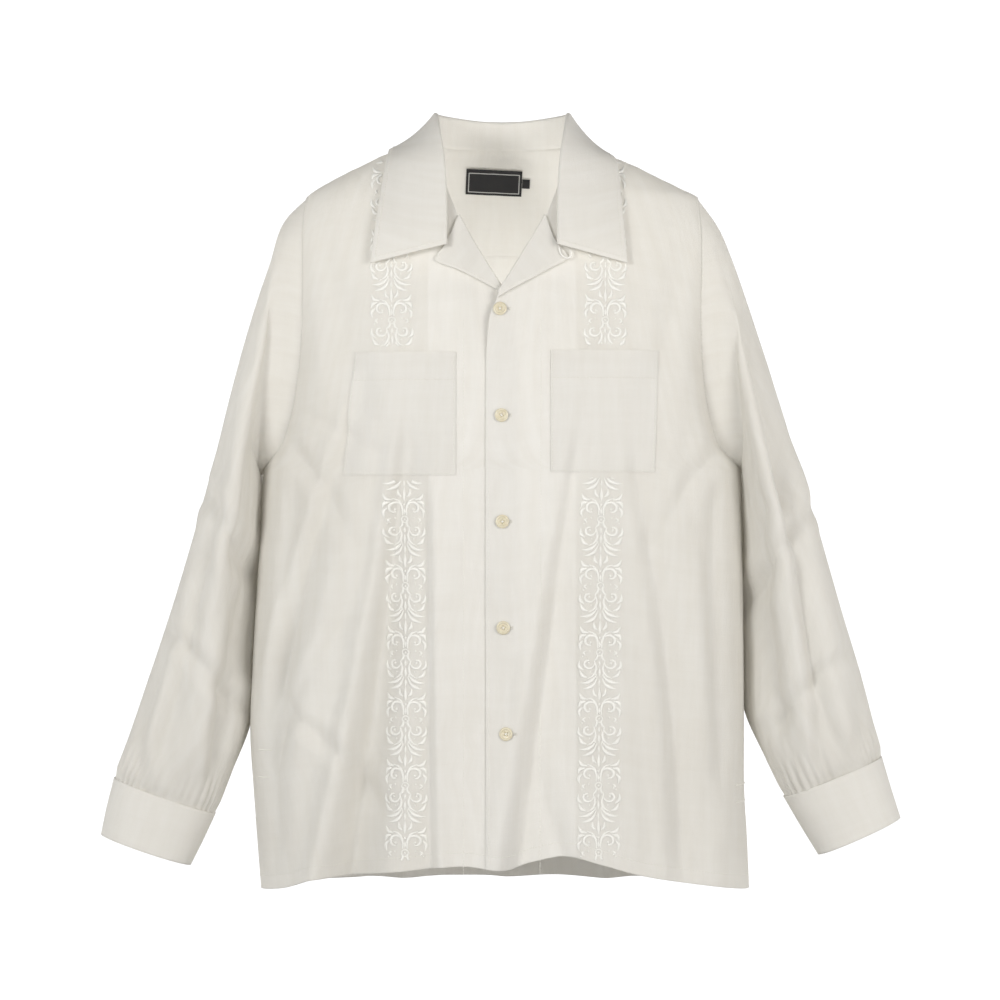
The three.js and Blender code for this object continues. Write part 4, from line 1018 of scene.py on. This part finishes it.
# ---------- Pockets ----------
def pocket_points(side, columns=40, rows=40):
    """A pocket laid on its front; it gapes a little at its top."""
    size = POCKETS[side]
    u, v = np.meshgrid(steps(0, 1, columns), steps(0, 1, rows))
    x = side * lerp(size["inner"], lerp(size["outer_bottom"], size["outer_top"], v), u)
    gape = 1.5 * v**4 * 4 * u * (1 - u)
    return front_form(side, x, lerp(size["bottom"], size["top"], v), POCKET_LIFT + gape)


for side, name in SIDES:
    laid = {"held": "laid", "material": LAYERED, "rests_on": ["front_" + name]}
    lay("pocket_" + name, pocket_points(side), POCKET_CLOTH, **laid)


# ---------- Threads ----------
def mesh_object(name, verts, faces, material, slot="cloth", uv=None):
    """A smooth piece from points in millimetres and faces that list them."""
    mesh = bpy.data.meshes.new(name)
    faces = faces if isinstance(faces, list) else faces.tolist()
    mesh.from_pydata((verts * MM).tolist(), [], faces)
    mesh.polygons.foreach_set("use_smooth", [True] * len(mesh.polygons))
    if uv is not None:
        layer = mesh.uv_layers.new(name="threads")
        corner = np.empty(len(mesh.loops), np.int64)
        mesh.loops.foreach_get("vertex_index", corner)
        layer.data.foreach_set("uv", uv[corner].ravel())
    mesh.update()
    obj = add_object(name, mesh, material)
    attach(obj, "root")
    return obj


def tube(line, radius, sides=6):
    """A round closed tube along a line: points and faces."""
    run = unit(np.gradient(line, axis=0))
    side = unit(np.cross(run, [0.13, 0.21, 0.97]))
    up = np.cross(side, run)
    turns = np.arange(sides) * 2 * math.pi / sides
    ring = np.stack([line + radius * (side * math.cos(a) + up * math.sin(a)) for a in turns], 1)
    last = len(line) - 1
    k = np.arange(last)[:, None] * sides
    faces = []
    for j in range(sides):
        n = (j + 1) % sides
        faces += np.concatenate([k + j, k + sides + j, k + sides + n, k + n], 1).tolist()
    faces += [list(range(sides)), list(range(last * sides, (last + 1) * sides))[::-1]]
    return ring.reshape(-1, 3), faces


def joined(name, lines, radius, sides, slot="cloth"):
    """One piece from many short round threads."""
    verts, faces, base = [], [], 0
    for line in lines:
        v, f = tube(line, radius, sides)
        verts.append(v)
        faces += [[base + q for q in face] for face in f]
        base += len(v)
    mesh_object(name, np.concatenate(verts), faces, THREAD, slot)


def inset(points, normals, edge, distance, trim=0):
    """A line on a grid at a distance from one of its edges, and the normals along it."""
    if edge in ("left", "right"):
        points, normals = np.swapaxes(points, 0, 1), np.swapaxes(normals, 0, 1)
    if edge in ("right", "top"):
        points, normals = points[::-1], normals[::-1]
    line, out = [], []
    for k in range(points.shape[1]):
        reach = lengths(points[:, k])
        line.append(sample(points[:, k], reach, distance))
        out.append(sample(normals[:, k], reach, distance))
    line, out = np.array(line), np.array(out)
    if trim:
        length = lengths(line)
        keep = (length >= trim) & (length <= length[-1] - trim)
        line, out = line[keep], out[keep]
    return line, out


STITCH = {"pitch": 3.0, "length": 2.35, "radius": 0.26}
# A stitch is a bar with a point at each end and two rings of four points between them.
STITCH_FACES = [
    face
    for k, m in ((0, 1), (1, 2), (2, 3), (3, 0))
    for face in ((0, 1 + m, 1 + k), (1 + k, 1 + m, 5 + m), (1 + k, 5 + m, 5 + k), (9, 5 + k, 5 + m))
]


def stitched(name, runs, lift=0.5):
    """Lines of single stitches, each a small rounded bar."""
    verts, faces, base = [], [], 0
    r, half = STITCH["radius"], STITCH["length"] / 2
    for line, normals in runs:
        length = lengths(line)
        count = int(length[-1] / STITCH["pitch"])
        if count < 1:
            continue
        at = (np.arange(count) + 0.5) * length[-1] / count
        middle = sample(line, length, at)
        out = unit(sample(normals, length, at))
        ahead = sample(line, length, np.minimum(at + NEAR, length[-1]))
        run = unit(ahead - sample(line, length, np.maximum(at - NEAR, 0)))
        across = unit(np.cross(out, run))
        middle = middle + out * lift
        rings = [middle - run * half - out * 0.2]
        for t in (-0.62, 0.62):
            for a in np.arange(4) * math.pi / 2:
                place = middle + run * half * t
                rings.append(place + across * r * 1.25 * math.cos(a) + out * r * math.sin(a))
        rings.append(middle + run * half - out * 0.2)
        verts.append(np.stack(rings, 1).reshape(-1, 3))
        first = base + len(rings) * np.arange(count)
        faces.append((first[:, None, None] + np.array(STITCH_FACES)).reshape(-1, 3))
        base += len(verts[-1])
    mesh_object(name, np.concatenate(verts), np.concatenate(faces), THREAD)


def towards_of(name):
    """Where a sheet's right side looks."""
    points = PIECES[name][1]
    if name in ("back", "yoke"):
        return np.array([0, 1, 0.0])
    if name == "collar":
        return points - np.array([0, -10, -60.0])
    if name.startswith(("sleeve", "cuff")):
        return points - points.mean(1, keepdims=True)
    return np.array([0, -1, 0.0])


NORMALS = {name: outward(points, towards_of(name)) for name, (_, points) in PIECES.items()}


def seam(name, edge, distance, trim=0, low=0, high=1):
    """A line beside a sheet's edge, between two shares of its points, and its normals."""
    line, out = inset(PIECES[name][1], NORMALS[name], edge, distance, trim)
    part = slice(int(low * len(line)), int(high * len(line)))
    return line[part], out[part]


def on_front(side, places, count=90):
    """A line over a front through places (x, z), with x away from the middle."""
    places = np.array(places, float)
    share, at = steps(0, 1, count), steps(0, 1, len(places))
    x, z = np.interp(share, at, places[:, 0]), np.interp(share, at, places[:, 1])
    return with_normal(front_of(side), side * x, z)


PLACKET = [(36, z) for z in (-668, -560, -440, -330, -220, -150)]
HEM_STITCH, SEAM_STITCH, EDGE_STITCH, VENT_STITCH, POCKET_STITCH = 13, 2.6, 3, 9, 1.8
VENT_SHARE = 0.13
for side, name in SIDES:
    front, pocket, size = "front_" + name, "pocket_" + name, POCKETS[side]
    corner = size["outer_bottom"]
    stitched("front_stitches_" + name, [
        seam(front, "bottom", HEM_STITCH, 4),
        seam(front, "left", EDGE_STITCH, 4, 0, 0.62),
        seam(front, "right", VENT_STITCH, 4, 0, VENT_SHARE),
        on_front(side, PLACKET, 240),
        seam(front, "top", SEAM_STITCH, 3, 0.45, 0.99),
        seam(front, "right", SEAM_STITCH, 3, 0.62, 0.985),
        *[seam(pocket, edge, POCKET_STITCH, 1) for edge in ("left", "right", "bottom")],
        seam(pocket, "top", 26, 2),
        on_front(side, [(corner - 3.5, size["bottom"] + 4), (corner - 0.5, size["bottom"] + 10)], 6),
        seam("lapel_" + name, "top", EDGE_STITCH, 2),
    ])
    cuff_edges = ("bottom", "top", "left", "right")
    stitched("sleeve_stitches_" + name, [
        seam("sleeve_" + name, "bottom", EDGE_STITCH, 0, 0.02, 0.98),
        *[seam("cuff_" + name, edge, EDGE_STITCH, 2) for edge in cuff_edges],
    ])
stitched("back_stitches", [
    seam("back", "bottom", HEM_STITCH, 4), seam("back", "top", 2.0, 3),
    *[seam("back", edge, VENT_STITCH, 4, 0, VENT_SHARE) for edge in ("left", "right")],
    *[seam("back", edge, SEAM_STITCH, 3, 0.7) for edge in ("left", "right")],
    seam("yoke", "bottom", SEAM_STITCH, 3), seam("yoke", "bottom", 4.6, 3),
    *[seam("yoke", edge, SEAM_STITCH, 3) for edge in ("left", "right")],
])
COLLAR_EDGES = (("top", 4), ("left", 3), ("right", 3))
stitched("collar_stitches", [seam("collar", edge, 4.5, trim) for edge, trim in COLLAR_EDGES], 0.9)

VENT_TACKS = {1: (-590, -606), -1: (-556, -582)}
for side, name in SIDES:
    x = side * steps(222, 232, 9)
    tacks = [with_normal(front_of(side), x, z, CLOTH / 2 + 0.2)[0] for z in VENT_TACKS[side]]
    joined("vent_tacks_" + name, tacks, 0.6, 6)


# ---------- Embroidery ----------
def arc(cx, cy, radius, start, end, grow=1.0, count=18):
    """A spiral arc: its radius grows by a factor on the way, angles in degrees."""
    t = steps(0, 1, count)
    a = np.radians(lerp(start, end, t))
    r = radius * grow**t
    return np.stack([cx + r * np.cos(a), cy + r * np.sin(a)], -1)


def through(*places, count=16):
    """A smooth line through a few places."""
    rows = dict(zip("xy", np.array(places, float).T))
    return np.stack([column(rows, None, key)(steps(0, 1, count)) for key in "xy"], -1)


REPEAT = 62.0
# One repeat of the scroll band: lines, and the width of the satin at start, middle and end.
HALF_STROKES = [
    (arc(9.2, 45.0, 7.6, 200, -110, 0.42, 26), (0.8, 2.5, 1.2)),
    (through((2.0, 38.5), (2.2, 45.5), (5.4, 52.0), (11.4, 54.6)), (1.2, 2.3, 0.7)),
    (through((10.6, 53.2), (15.8, 54.4), (18.6, 59.0)), (0.9, 3.0, 0.5)),
    (through((12.6, 51.2), (17.2, 50.0), (19.0, 45.6)), (0.9, 3.2, 0.5)),
    (through((15.2, 46.0), (18.4, 42.0), (17.6, 36.4)), (0.8, 2.8, 0.5)),
    (arc(10.6, 24.6, 6.4, 150, 470, 0.4, 26), (0.8, 2.3, 1.2)),
    (through((1.8, 34.0), (2.6, 29.4), (4.8, 27.0)), (1.0, 2.2, 1.2)),
    (through((5.2, 27.4), (3.2, 19.6), (6.0, 13.2), (11.4, 10.4)), (1.0, 2.2, 0.6)),
    (through((11.6, 11.4), (16.0, 13.4), (18.6, 18.6)), (0.8, 3.0, 0.5)),
    (through((14.8, 18.0), (18.6, 21.6), (18.8, 27.2)), (0.8, 2.8, 0.5)),
    (through((2.4, 14.6), (6.8, 9.2), (12.4, 6.6), (18.2, 6.4)), (0.6, 2.9, 0.5)),
    (through((1.9, 11.8), (5.4, 5.0), (10.6, 1.8), (15.2, 0.8)), (0.6, 2.9, 0.5)),
    (through((2.4, 55.6), (5.2, 58.4), (5.8, 63.2)), (0.7, 2.7, 0.6)),
    (through((2.0, 20.0), (4.0, 15.6), (2.2, 11.6)), (0.6, 1.6, 0.6)),
    (through((13.0, 31.8), (14.8, 34.2), (12.6, 36.2)), (0.7, 1.9, 0.5)),
]
MIDDLE_STROKES = [
    (through((0, 52.0), (0, 57.0), (0, 64.6)), (0.8, 3.4, 0.7)),
    (arc(0, 34.6, 3.1, 0, 360, 1, 20), (1.4, 1.4, 1.4)),
    (through((0, 20.6), (0, 16.4), (0, 12.4)), (0.6, 2.8, 0.6)),
    (through((0, 27.2), (0, 24.6), (0, 22.4)), (0.8, 2.6, 0.8)),
    (through((0, 45.0), (0, 42.0), (0, 39.4)), (0.8, 2.6, 0.8)),
    (through((0, 9.6), (0, 6.6), (0, 3.4)), (0.7, 2.2, 0.6)),
]
DOTS = [
    (0, 34.6, 1.0), (0, 48.4, 1.2), (8.8, 44.0, 1.2), (10.4, 24.8, 1.1),
    (9.4, 36.0, 0.8), (15.8, 31.0, 0.8), (8.6, 16.6, 0.8),
]
HALF_WIDENING = 1.18


def strokes():
    """Every line of one repeat as (points, widths)."""
    def wide(line, widths):
        return through(*[(w, 0) for w in widths], count=len(line))[:, 0]

    for line, widths in HALF_STROKES:
        width = HALF_WIDENING * wide(line, widths)
        yield line, width
        yield line * (-1, 1), width
    for line, widths in MIDDLE_STROKES:
        yield line, wide(line, widths)
    for x, y, r in DOTS:
        for flip in {1, -1} if x else {1}:
            t = steps(-1, 1, 7)
            width = 2 * r * np.sqrt(np.maximum(1 - t**2, 0.05))
            yield np.stack([x * flip + 0 * t, y + r * t], -1), width


BAND_X = {
    1: table("z x", (-655, 89), (-301, 93), (-177, 95.8), (-60, 97), (30, 97)),
    -1: table("z x", (-655, 89), (-301, 92.5), (-177, 102), (-60, 104), (30, 104)),
}
BAND_ZONES = {1: ((-654, -298), (-174, 30)), -1: ((-654, -301), (-176, 30))}


def under_collar(side, x, z):
    """Places which the collar's leaf covers."""
    edge = 113 + LEAF_SPREAD[side]
    low = -81 - 16 * (x - 57) / 60
    return (x < edge - 6) & (z > low + 6)


def neck_top(side, x):
    """How high a front's cloth reaches at x."""
    z = steps(TIP_Z, NECK_Z, 40)
    w = torso_width(z, side + 0 * z)
    return np.interp(-x, -w, z) - 3


# Across a stroke: shares of its width, and of its height over the cloth.
SATIN_SECTION = ((-0.5, 0), (-0.36, 0.72), (0, 1), (0.36, 0.72), (0.5, 0))
BAND_START = HEM_Z + 8
SHORTEST_STROKE = 4  # points left of a stroke that still makes a stitch


def embroidered(name, side):
    """The scroll band on one front: every stroke a low rounded ridge of satin stitch."""
    middle = column(BAND_X[side], "z", "x")
    sides = len(SATIN_SECTION)
    spots, lifts, faces, uvs, base = [], [], [], [], 0

    def add_stroke(x, z, w):
        nonlocal base
        run = unit(np.stack([np.gradient(x), np.gradient(z)], -1))
        length = lengths(np.stack([x, z], -1)) * MM
        count = len(x)
        for offset, rise in SATIN_SECTION:
            spots.append(np.stack([x - run[:, 1] * w * offset, z + run[:, 0] * w * offset], -1))
            lifts.append(CLOTH / 2 + (0.3 + 0.17 * w) * rise - 0.1 * (rise == 0))
            uvs.append(np.stack([length, w * MM * offset], -1))
        k = base + np.arange(count - 1)
        for j in range(sides):
            low, high = k + j * count, k + (j + 1) % sides * count
            faces.append(np.stack([low, high, high + 1, low + 1], -1))
        base += sides * count

    for low, high in BAND_ZONES[side]:
        first, last = math.floor((low - BAND_START) / REPEAT), math.ceil((high - HEM_Z) / REPEAT)
        for repeat in range(first, last + 1):
            for line, width in strokes():
                z = BAND_START + repeat * REPEAT + line[:, 1]
                x = middle(z) + line[:, 0]
                keep = (z > low) & (z < high) & ~under_collar(side, x, z)
                keep &= (x < torso_width(z, side + 0 * z) * 0.985) & (z < neck_top(side, x))
                runs = np.flatnonzero(np.diff(np.concatenate([[0], keep.astype(int), [0]])))
                if len(runs) >= 2 and runs[1] - runs[0] >= SHORTEST_STROKE:
                    add_stroke(*(a[runs[0] : runs[1]] for a in (x, z, width)))
    spots, faces = np.concatenate(spots), np.concatenate(faces)
    points, _ = with_normal(
        front_of(side), side * spots[:, 0], spots[:, 1], np.concatenate(lifts)
    )
    faces = faces if side > 0 else faces[:, ::-1]
    mesh_object(name, points, faces, SATIN, uv=np.concatenate(uvs))


for side, name in SIDES:
    embroidered("embroidery_" + name, side)


# ---------- Buttons, buttonholes and loop ----------
RADIUS, THICK = 6.35, 1.9
BUTTON_GAP, TOP_BUTTON_GAP = 0.45, 0.8
TOP_BUTTON = (-74, -60)
PIT_ANGLES = [math.radians(a) for a in (45, 135, 225, 315)]
TOP_SHARES = (
    0.001, 0.06, 0.11, 0.15, 0.19, 0.23, 0.27, 0.31, 0.35, 0.39, 0.43, 0.50,
    0.58, 0.63, 0.68, 0.73, 0.79, 0.85, 0.90, 0.94, 0.97, 0.99,
)
UNDERSIDE = ((1, 0.58), (0.995, 0.42), (0.96, 0.22), (0.88, 0.08), (0.75, 0.01), (0.5, 0), (0.001, 0))
DISH = 0.62


def button_profile():
    """Half a section of a sew-through button, from the middle of its top to that of its underside."""
    rim = [float(ease(r, 0.60, 0.74) * (1 - 0.75 * ease(r, 0.80, 1.0))) for r in TOP_SHARES]
    top = [(r, DISH + (1 - DISH) * high) for r, high in zip(TOP_SHARES, rim)]
    return [(RADIUS * r, THICK * high) for r, high in (*top, *UNDERSIDE)]


def button_object(name, at, axes, replaces):
    """A turned disc with a rim and a dish, and four pits pressed into the dish."""
    bm = spun(button_profile(), 72, 0.012, use_merge=True)
    pit, reach = RADIUS * 0.262, RADIUS * 0.12
    for v in bm.verts:
        x, y, z = v.co
        if z > 0.5 * THICK:
            near = min(math.hypot(x - pit * math.cos(a), y - pit * math.sin(a)) for a in PIT_ANGLES)
            v.co.z -= 0.5 * THICK * math.exp(-((near / reach) ** 4))
    for v in bm.verts:
        v.co = Vector(at + np.array(v.co) @ axes) * MM
    bmesh.ops.recalc_face_normals(bm, faces=bm.faces)
    obj = smooth_object(name, bm, RESIN)
    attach(obj, "root")
    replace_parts(obj, replaces)


def crossing_thread():
    """Two crossed pairs of thread over the four pits."""
    reach, t = RADIUS * 0.27, steps(-1, 1, 9)
    for a in PIT_ANGLES[:2]:
        c, s = math.cos(a), math.sin(a)
        for shift in (-0.16, 0.16):
            height = THICK * (0.8 - 0.45 * t**6)
            yield np.stack([c * reach * t - s * shift, s * reach * t + c * shift, height], -1)


def sew_button(name, at, normal, gap=BUTTON_GAP, turn=0.0):
    """A button over a place on the cloth, with its thread."""
    out = unit(normal)
    side = unit(np.cross(UP, out))
    up = np.cross(out, side)
    c, s = math.cos(turn), math.sin(turn)
    axes = np.array((side * c + up * s, up * c - side * s, out))
    at = at + out * gap
    button_object(name + "_resin", at, axes, name)
    lines = [at + line @ axes for line in crossing_thread()]
    joined(name + "_thread", lines, 0.2, 5, slot="button")


HOLE_WIDE, HOLE_PITCH = 16.0, 0.45


def buttonhole(name, at_x, at_z):
    """A worked hole: two rows of close stitches and a bar at each end."""
    t, lines = steps(-1, 1, 5), []
    x = at_x + steps(-HOLE_WIDE / 2, HOLE_WIDE / 2, int(HOLE_WIDE / HOLE_PITCH))
    for shift in (-0.75, 0.75):
        point, out = with_normal(front_of(1), x, at_z + shift, CLOTH / 2 + 0.12)
        for p, n in zip(point, out):
            lines.append(p + UP * 0.62 * t[:, None] + n * 0.16 * (1 - t**2)[:, None])
    for end in (-1, 1):
        for shift in (-0.5, 0, 0.5):
            bar_x = at_x + end * (HOLE_WIDE / 2 + 0.35 * shift)
            lines.append(with_normal(front_of(1), bar_x, at_z + 1.35 * t, CLOTH / 2 + 0.15)[0])
    joined(name, lines, 0.18, 4)


for number, (name, (x, z)) in enumerate(BUTTONS.items()):
    point, normal = with_normal(front_of(1), x, z, CLOTH / 2)
    sew_button(name, point, normal, turn=0.35 * number)
    buttonhole("hole_" + name[-1], x + 1.5, z)
point, normal = with_normal(front_of(-1), *TOP_BUTTON, CLOTH / 2)
sew_button("button_top", point, normal, TOP_BUTTON_GAP)

for side, name in SIDES:
    angle = CUFF_START + CUFF_OVERLAP / 2 + np.array([-0.02, 0, 0.02])
    lift = CUFF_LIFT + DOUBLE / 2
    base, above = (
        cuff_points(side, angle, steps(0, 1, 3), np.full(3, lift + more))[1, 1] for more in (0, 1)
    )
    sew_button("button_cuff_" + name, base, above - base)

LOOP = through((53, -84.5), (55, -91), (60, -94.5), (64, -91.5), (63.5, -87), count=30)
LOOP_LINE = with_normal(front_of(1), LOOP[:, 0], LOOP[:, 1], 5.0)[0]
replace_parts(mesh_object("loop_cord", *tube(LOOP_LINE, 0.75, 10), CORD), "loop")


# ---------- Label ----------
LABEL = {"x": -8, "z": -7, "wide": 55, "high": 24, "tilt": -0.045}
SIZE_TAB = {"x": 23.6, "z": -8.4, "wide": 7.5, "high": 8.5, "tilt": -0.045}
BLACK = {
    "label": label_material("woven_label_black", LABEL),
    "size_tab": label_material("woven_tab_black"),
}


def label_points(size, columns=41, rows=17):
    u, v = np.meshgrid(steps(-0.5, 0.5, columns), steps(-0.5, 0.5, rows))
    u, v = u * size["wide"], v * size["high"]
    c, s = math.cos(size["tilt"]), math.sin(size["tilt"])
    return back_form(size["x"] + u * c - v * s, size["z"] + u * s + v * c, -LABEL_DEPTH)


for name, size in (("label", LABEL), ("size_tab", SIZE_TAB)):
    laid = {"held": "laid", "material": BLACK[name], "rests_on": ["yoke"]}
    lay(name, label_points(size), LABEL_CLOTH, **laid)


# ---------- Floor and light ----------
FLOOR_Z, FLOOR_RADIUS, WALL_HEIGHT, BEND = -1.05, 4.6, 2.4, 1.2


def studio_material():
    """White that glows behind the shirt more than in front, and little close to it."""
    material, tree, shader = new_material("studio_white")
    material.cycles.emission_sampling = "NONE"  # it is everywhere, so light finds it anyway
    place = object_place(tree)
    behind = eased(tree, apart(tree, place)[1], -2.5, 0.5, 0.3, 1.0)
    level = times(tree, place, (1, 1, 0))
    distance = add(tree, "VectorMath", {0: level}, operation="LENGTH").outputs["Value"]
    glow = calc(tree, "MULTIPLY", behind, eased(tree, distance, 0.8, 1.7, 0.12, 1.0))
    look = {"Base Color": (0.3, 0.3, 0.3, 1), "Roughness": 1, "Specular IOR Level": 0}
    feed(tree, shader, look | {"Emission Color": (1, 1, 1, 1), "Emission Strength": glow})
    return material


def studio():
    """A round pale floor that curves up into a wall, all round and behind every camera."""
    start = FLOOR_RADIUS - BEND
    profile = [(0.001, FLOOR_Z), (2.0, FLOOR_Z), (start, FLOOR_Z)]
    for a in steps(0, math.pi / 2, 9)[1:]:
        profile.append((start + BEND * math.sin(a), FLOOR_Z + BEND * (1 - math.cos(a))))
    profile.append((FLOOR_RADIUS, FLOOR_Z + WALL_HEIGHT))
    bm = spun(profile, 64, 1e-4)
    bmesh.ops.recalc_face_normals(bm, faces=bm.faces)
    bmesh.ops.reverse_faces(bm, faces=bm.faces)
    smooth_object("studio", bm, studio_material())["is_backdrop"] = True


def area_light(name, at, towards, size, power, colour=(1, 1, 1)):
    data = bpy.data.lights.new(name, "AREA")
    data.energy, data.size, data.color = power, size, colour
    obj = bpy.data.objects.new(name, data)
    obj.location = at
    obj.rotation_euler = (Vector(towards) - Vector(at)).to_track_quat("-Z", "Y").to_euler()
    bpy.context.scene.collection.objects.link(obj)


studio()
area_light("key", (-1.9, -2.6, 0.45), (0, 0, -0.3), 0.9, 47, (1, 0.995, 0.98))
area_light("fill", (2.0, -2.5, 0.1), (0, 0, -0.35), 1.4, 45, (1, 0.975, 0.945))
area_light("neck", (0, -0.035, -0.17), (0, 0.075, -0.045), 0.12, 0.22)
world = bpy.data.worlds.new("world")
world.use_nodes = True
background = world.node_tree.nodes["Background"]
feed(world.node_tree, background, {"Color": (1, 1, 1, 1), "Strength": 0.22})
bpy.context.scene.world = world
bpy.context.scene.view_settings.view_transform = "Standard"

for obj, flat, held, area, rests_on in SHEETS:
    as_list(rests_on)

boxes = {"cad": CAD_BOX, "visual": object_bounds()}
{k: [[float(c) for c in corner] for corner in box] for k, box in boxes.items()}
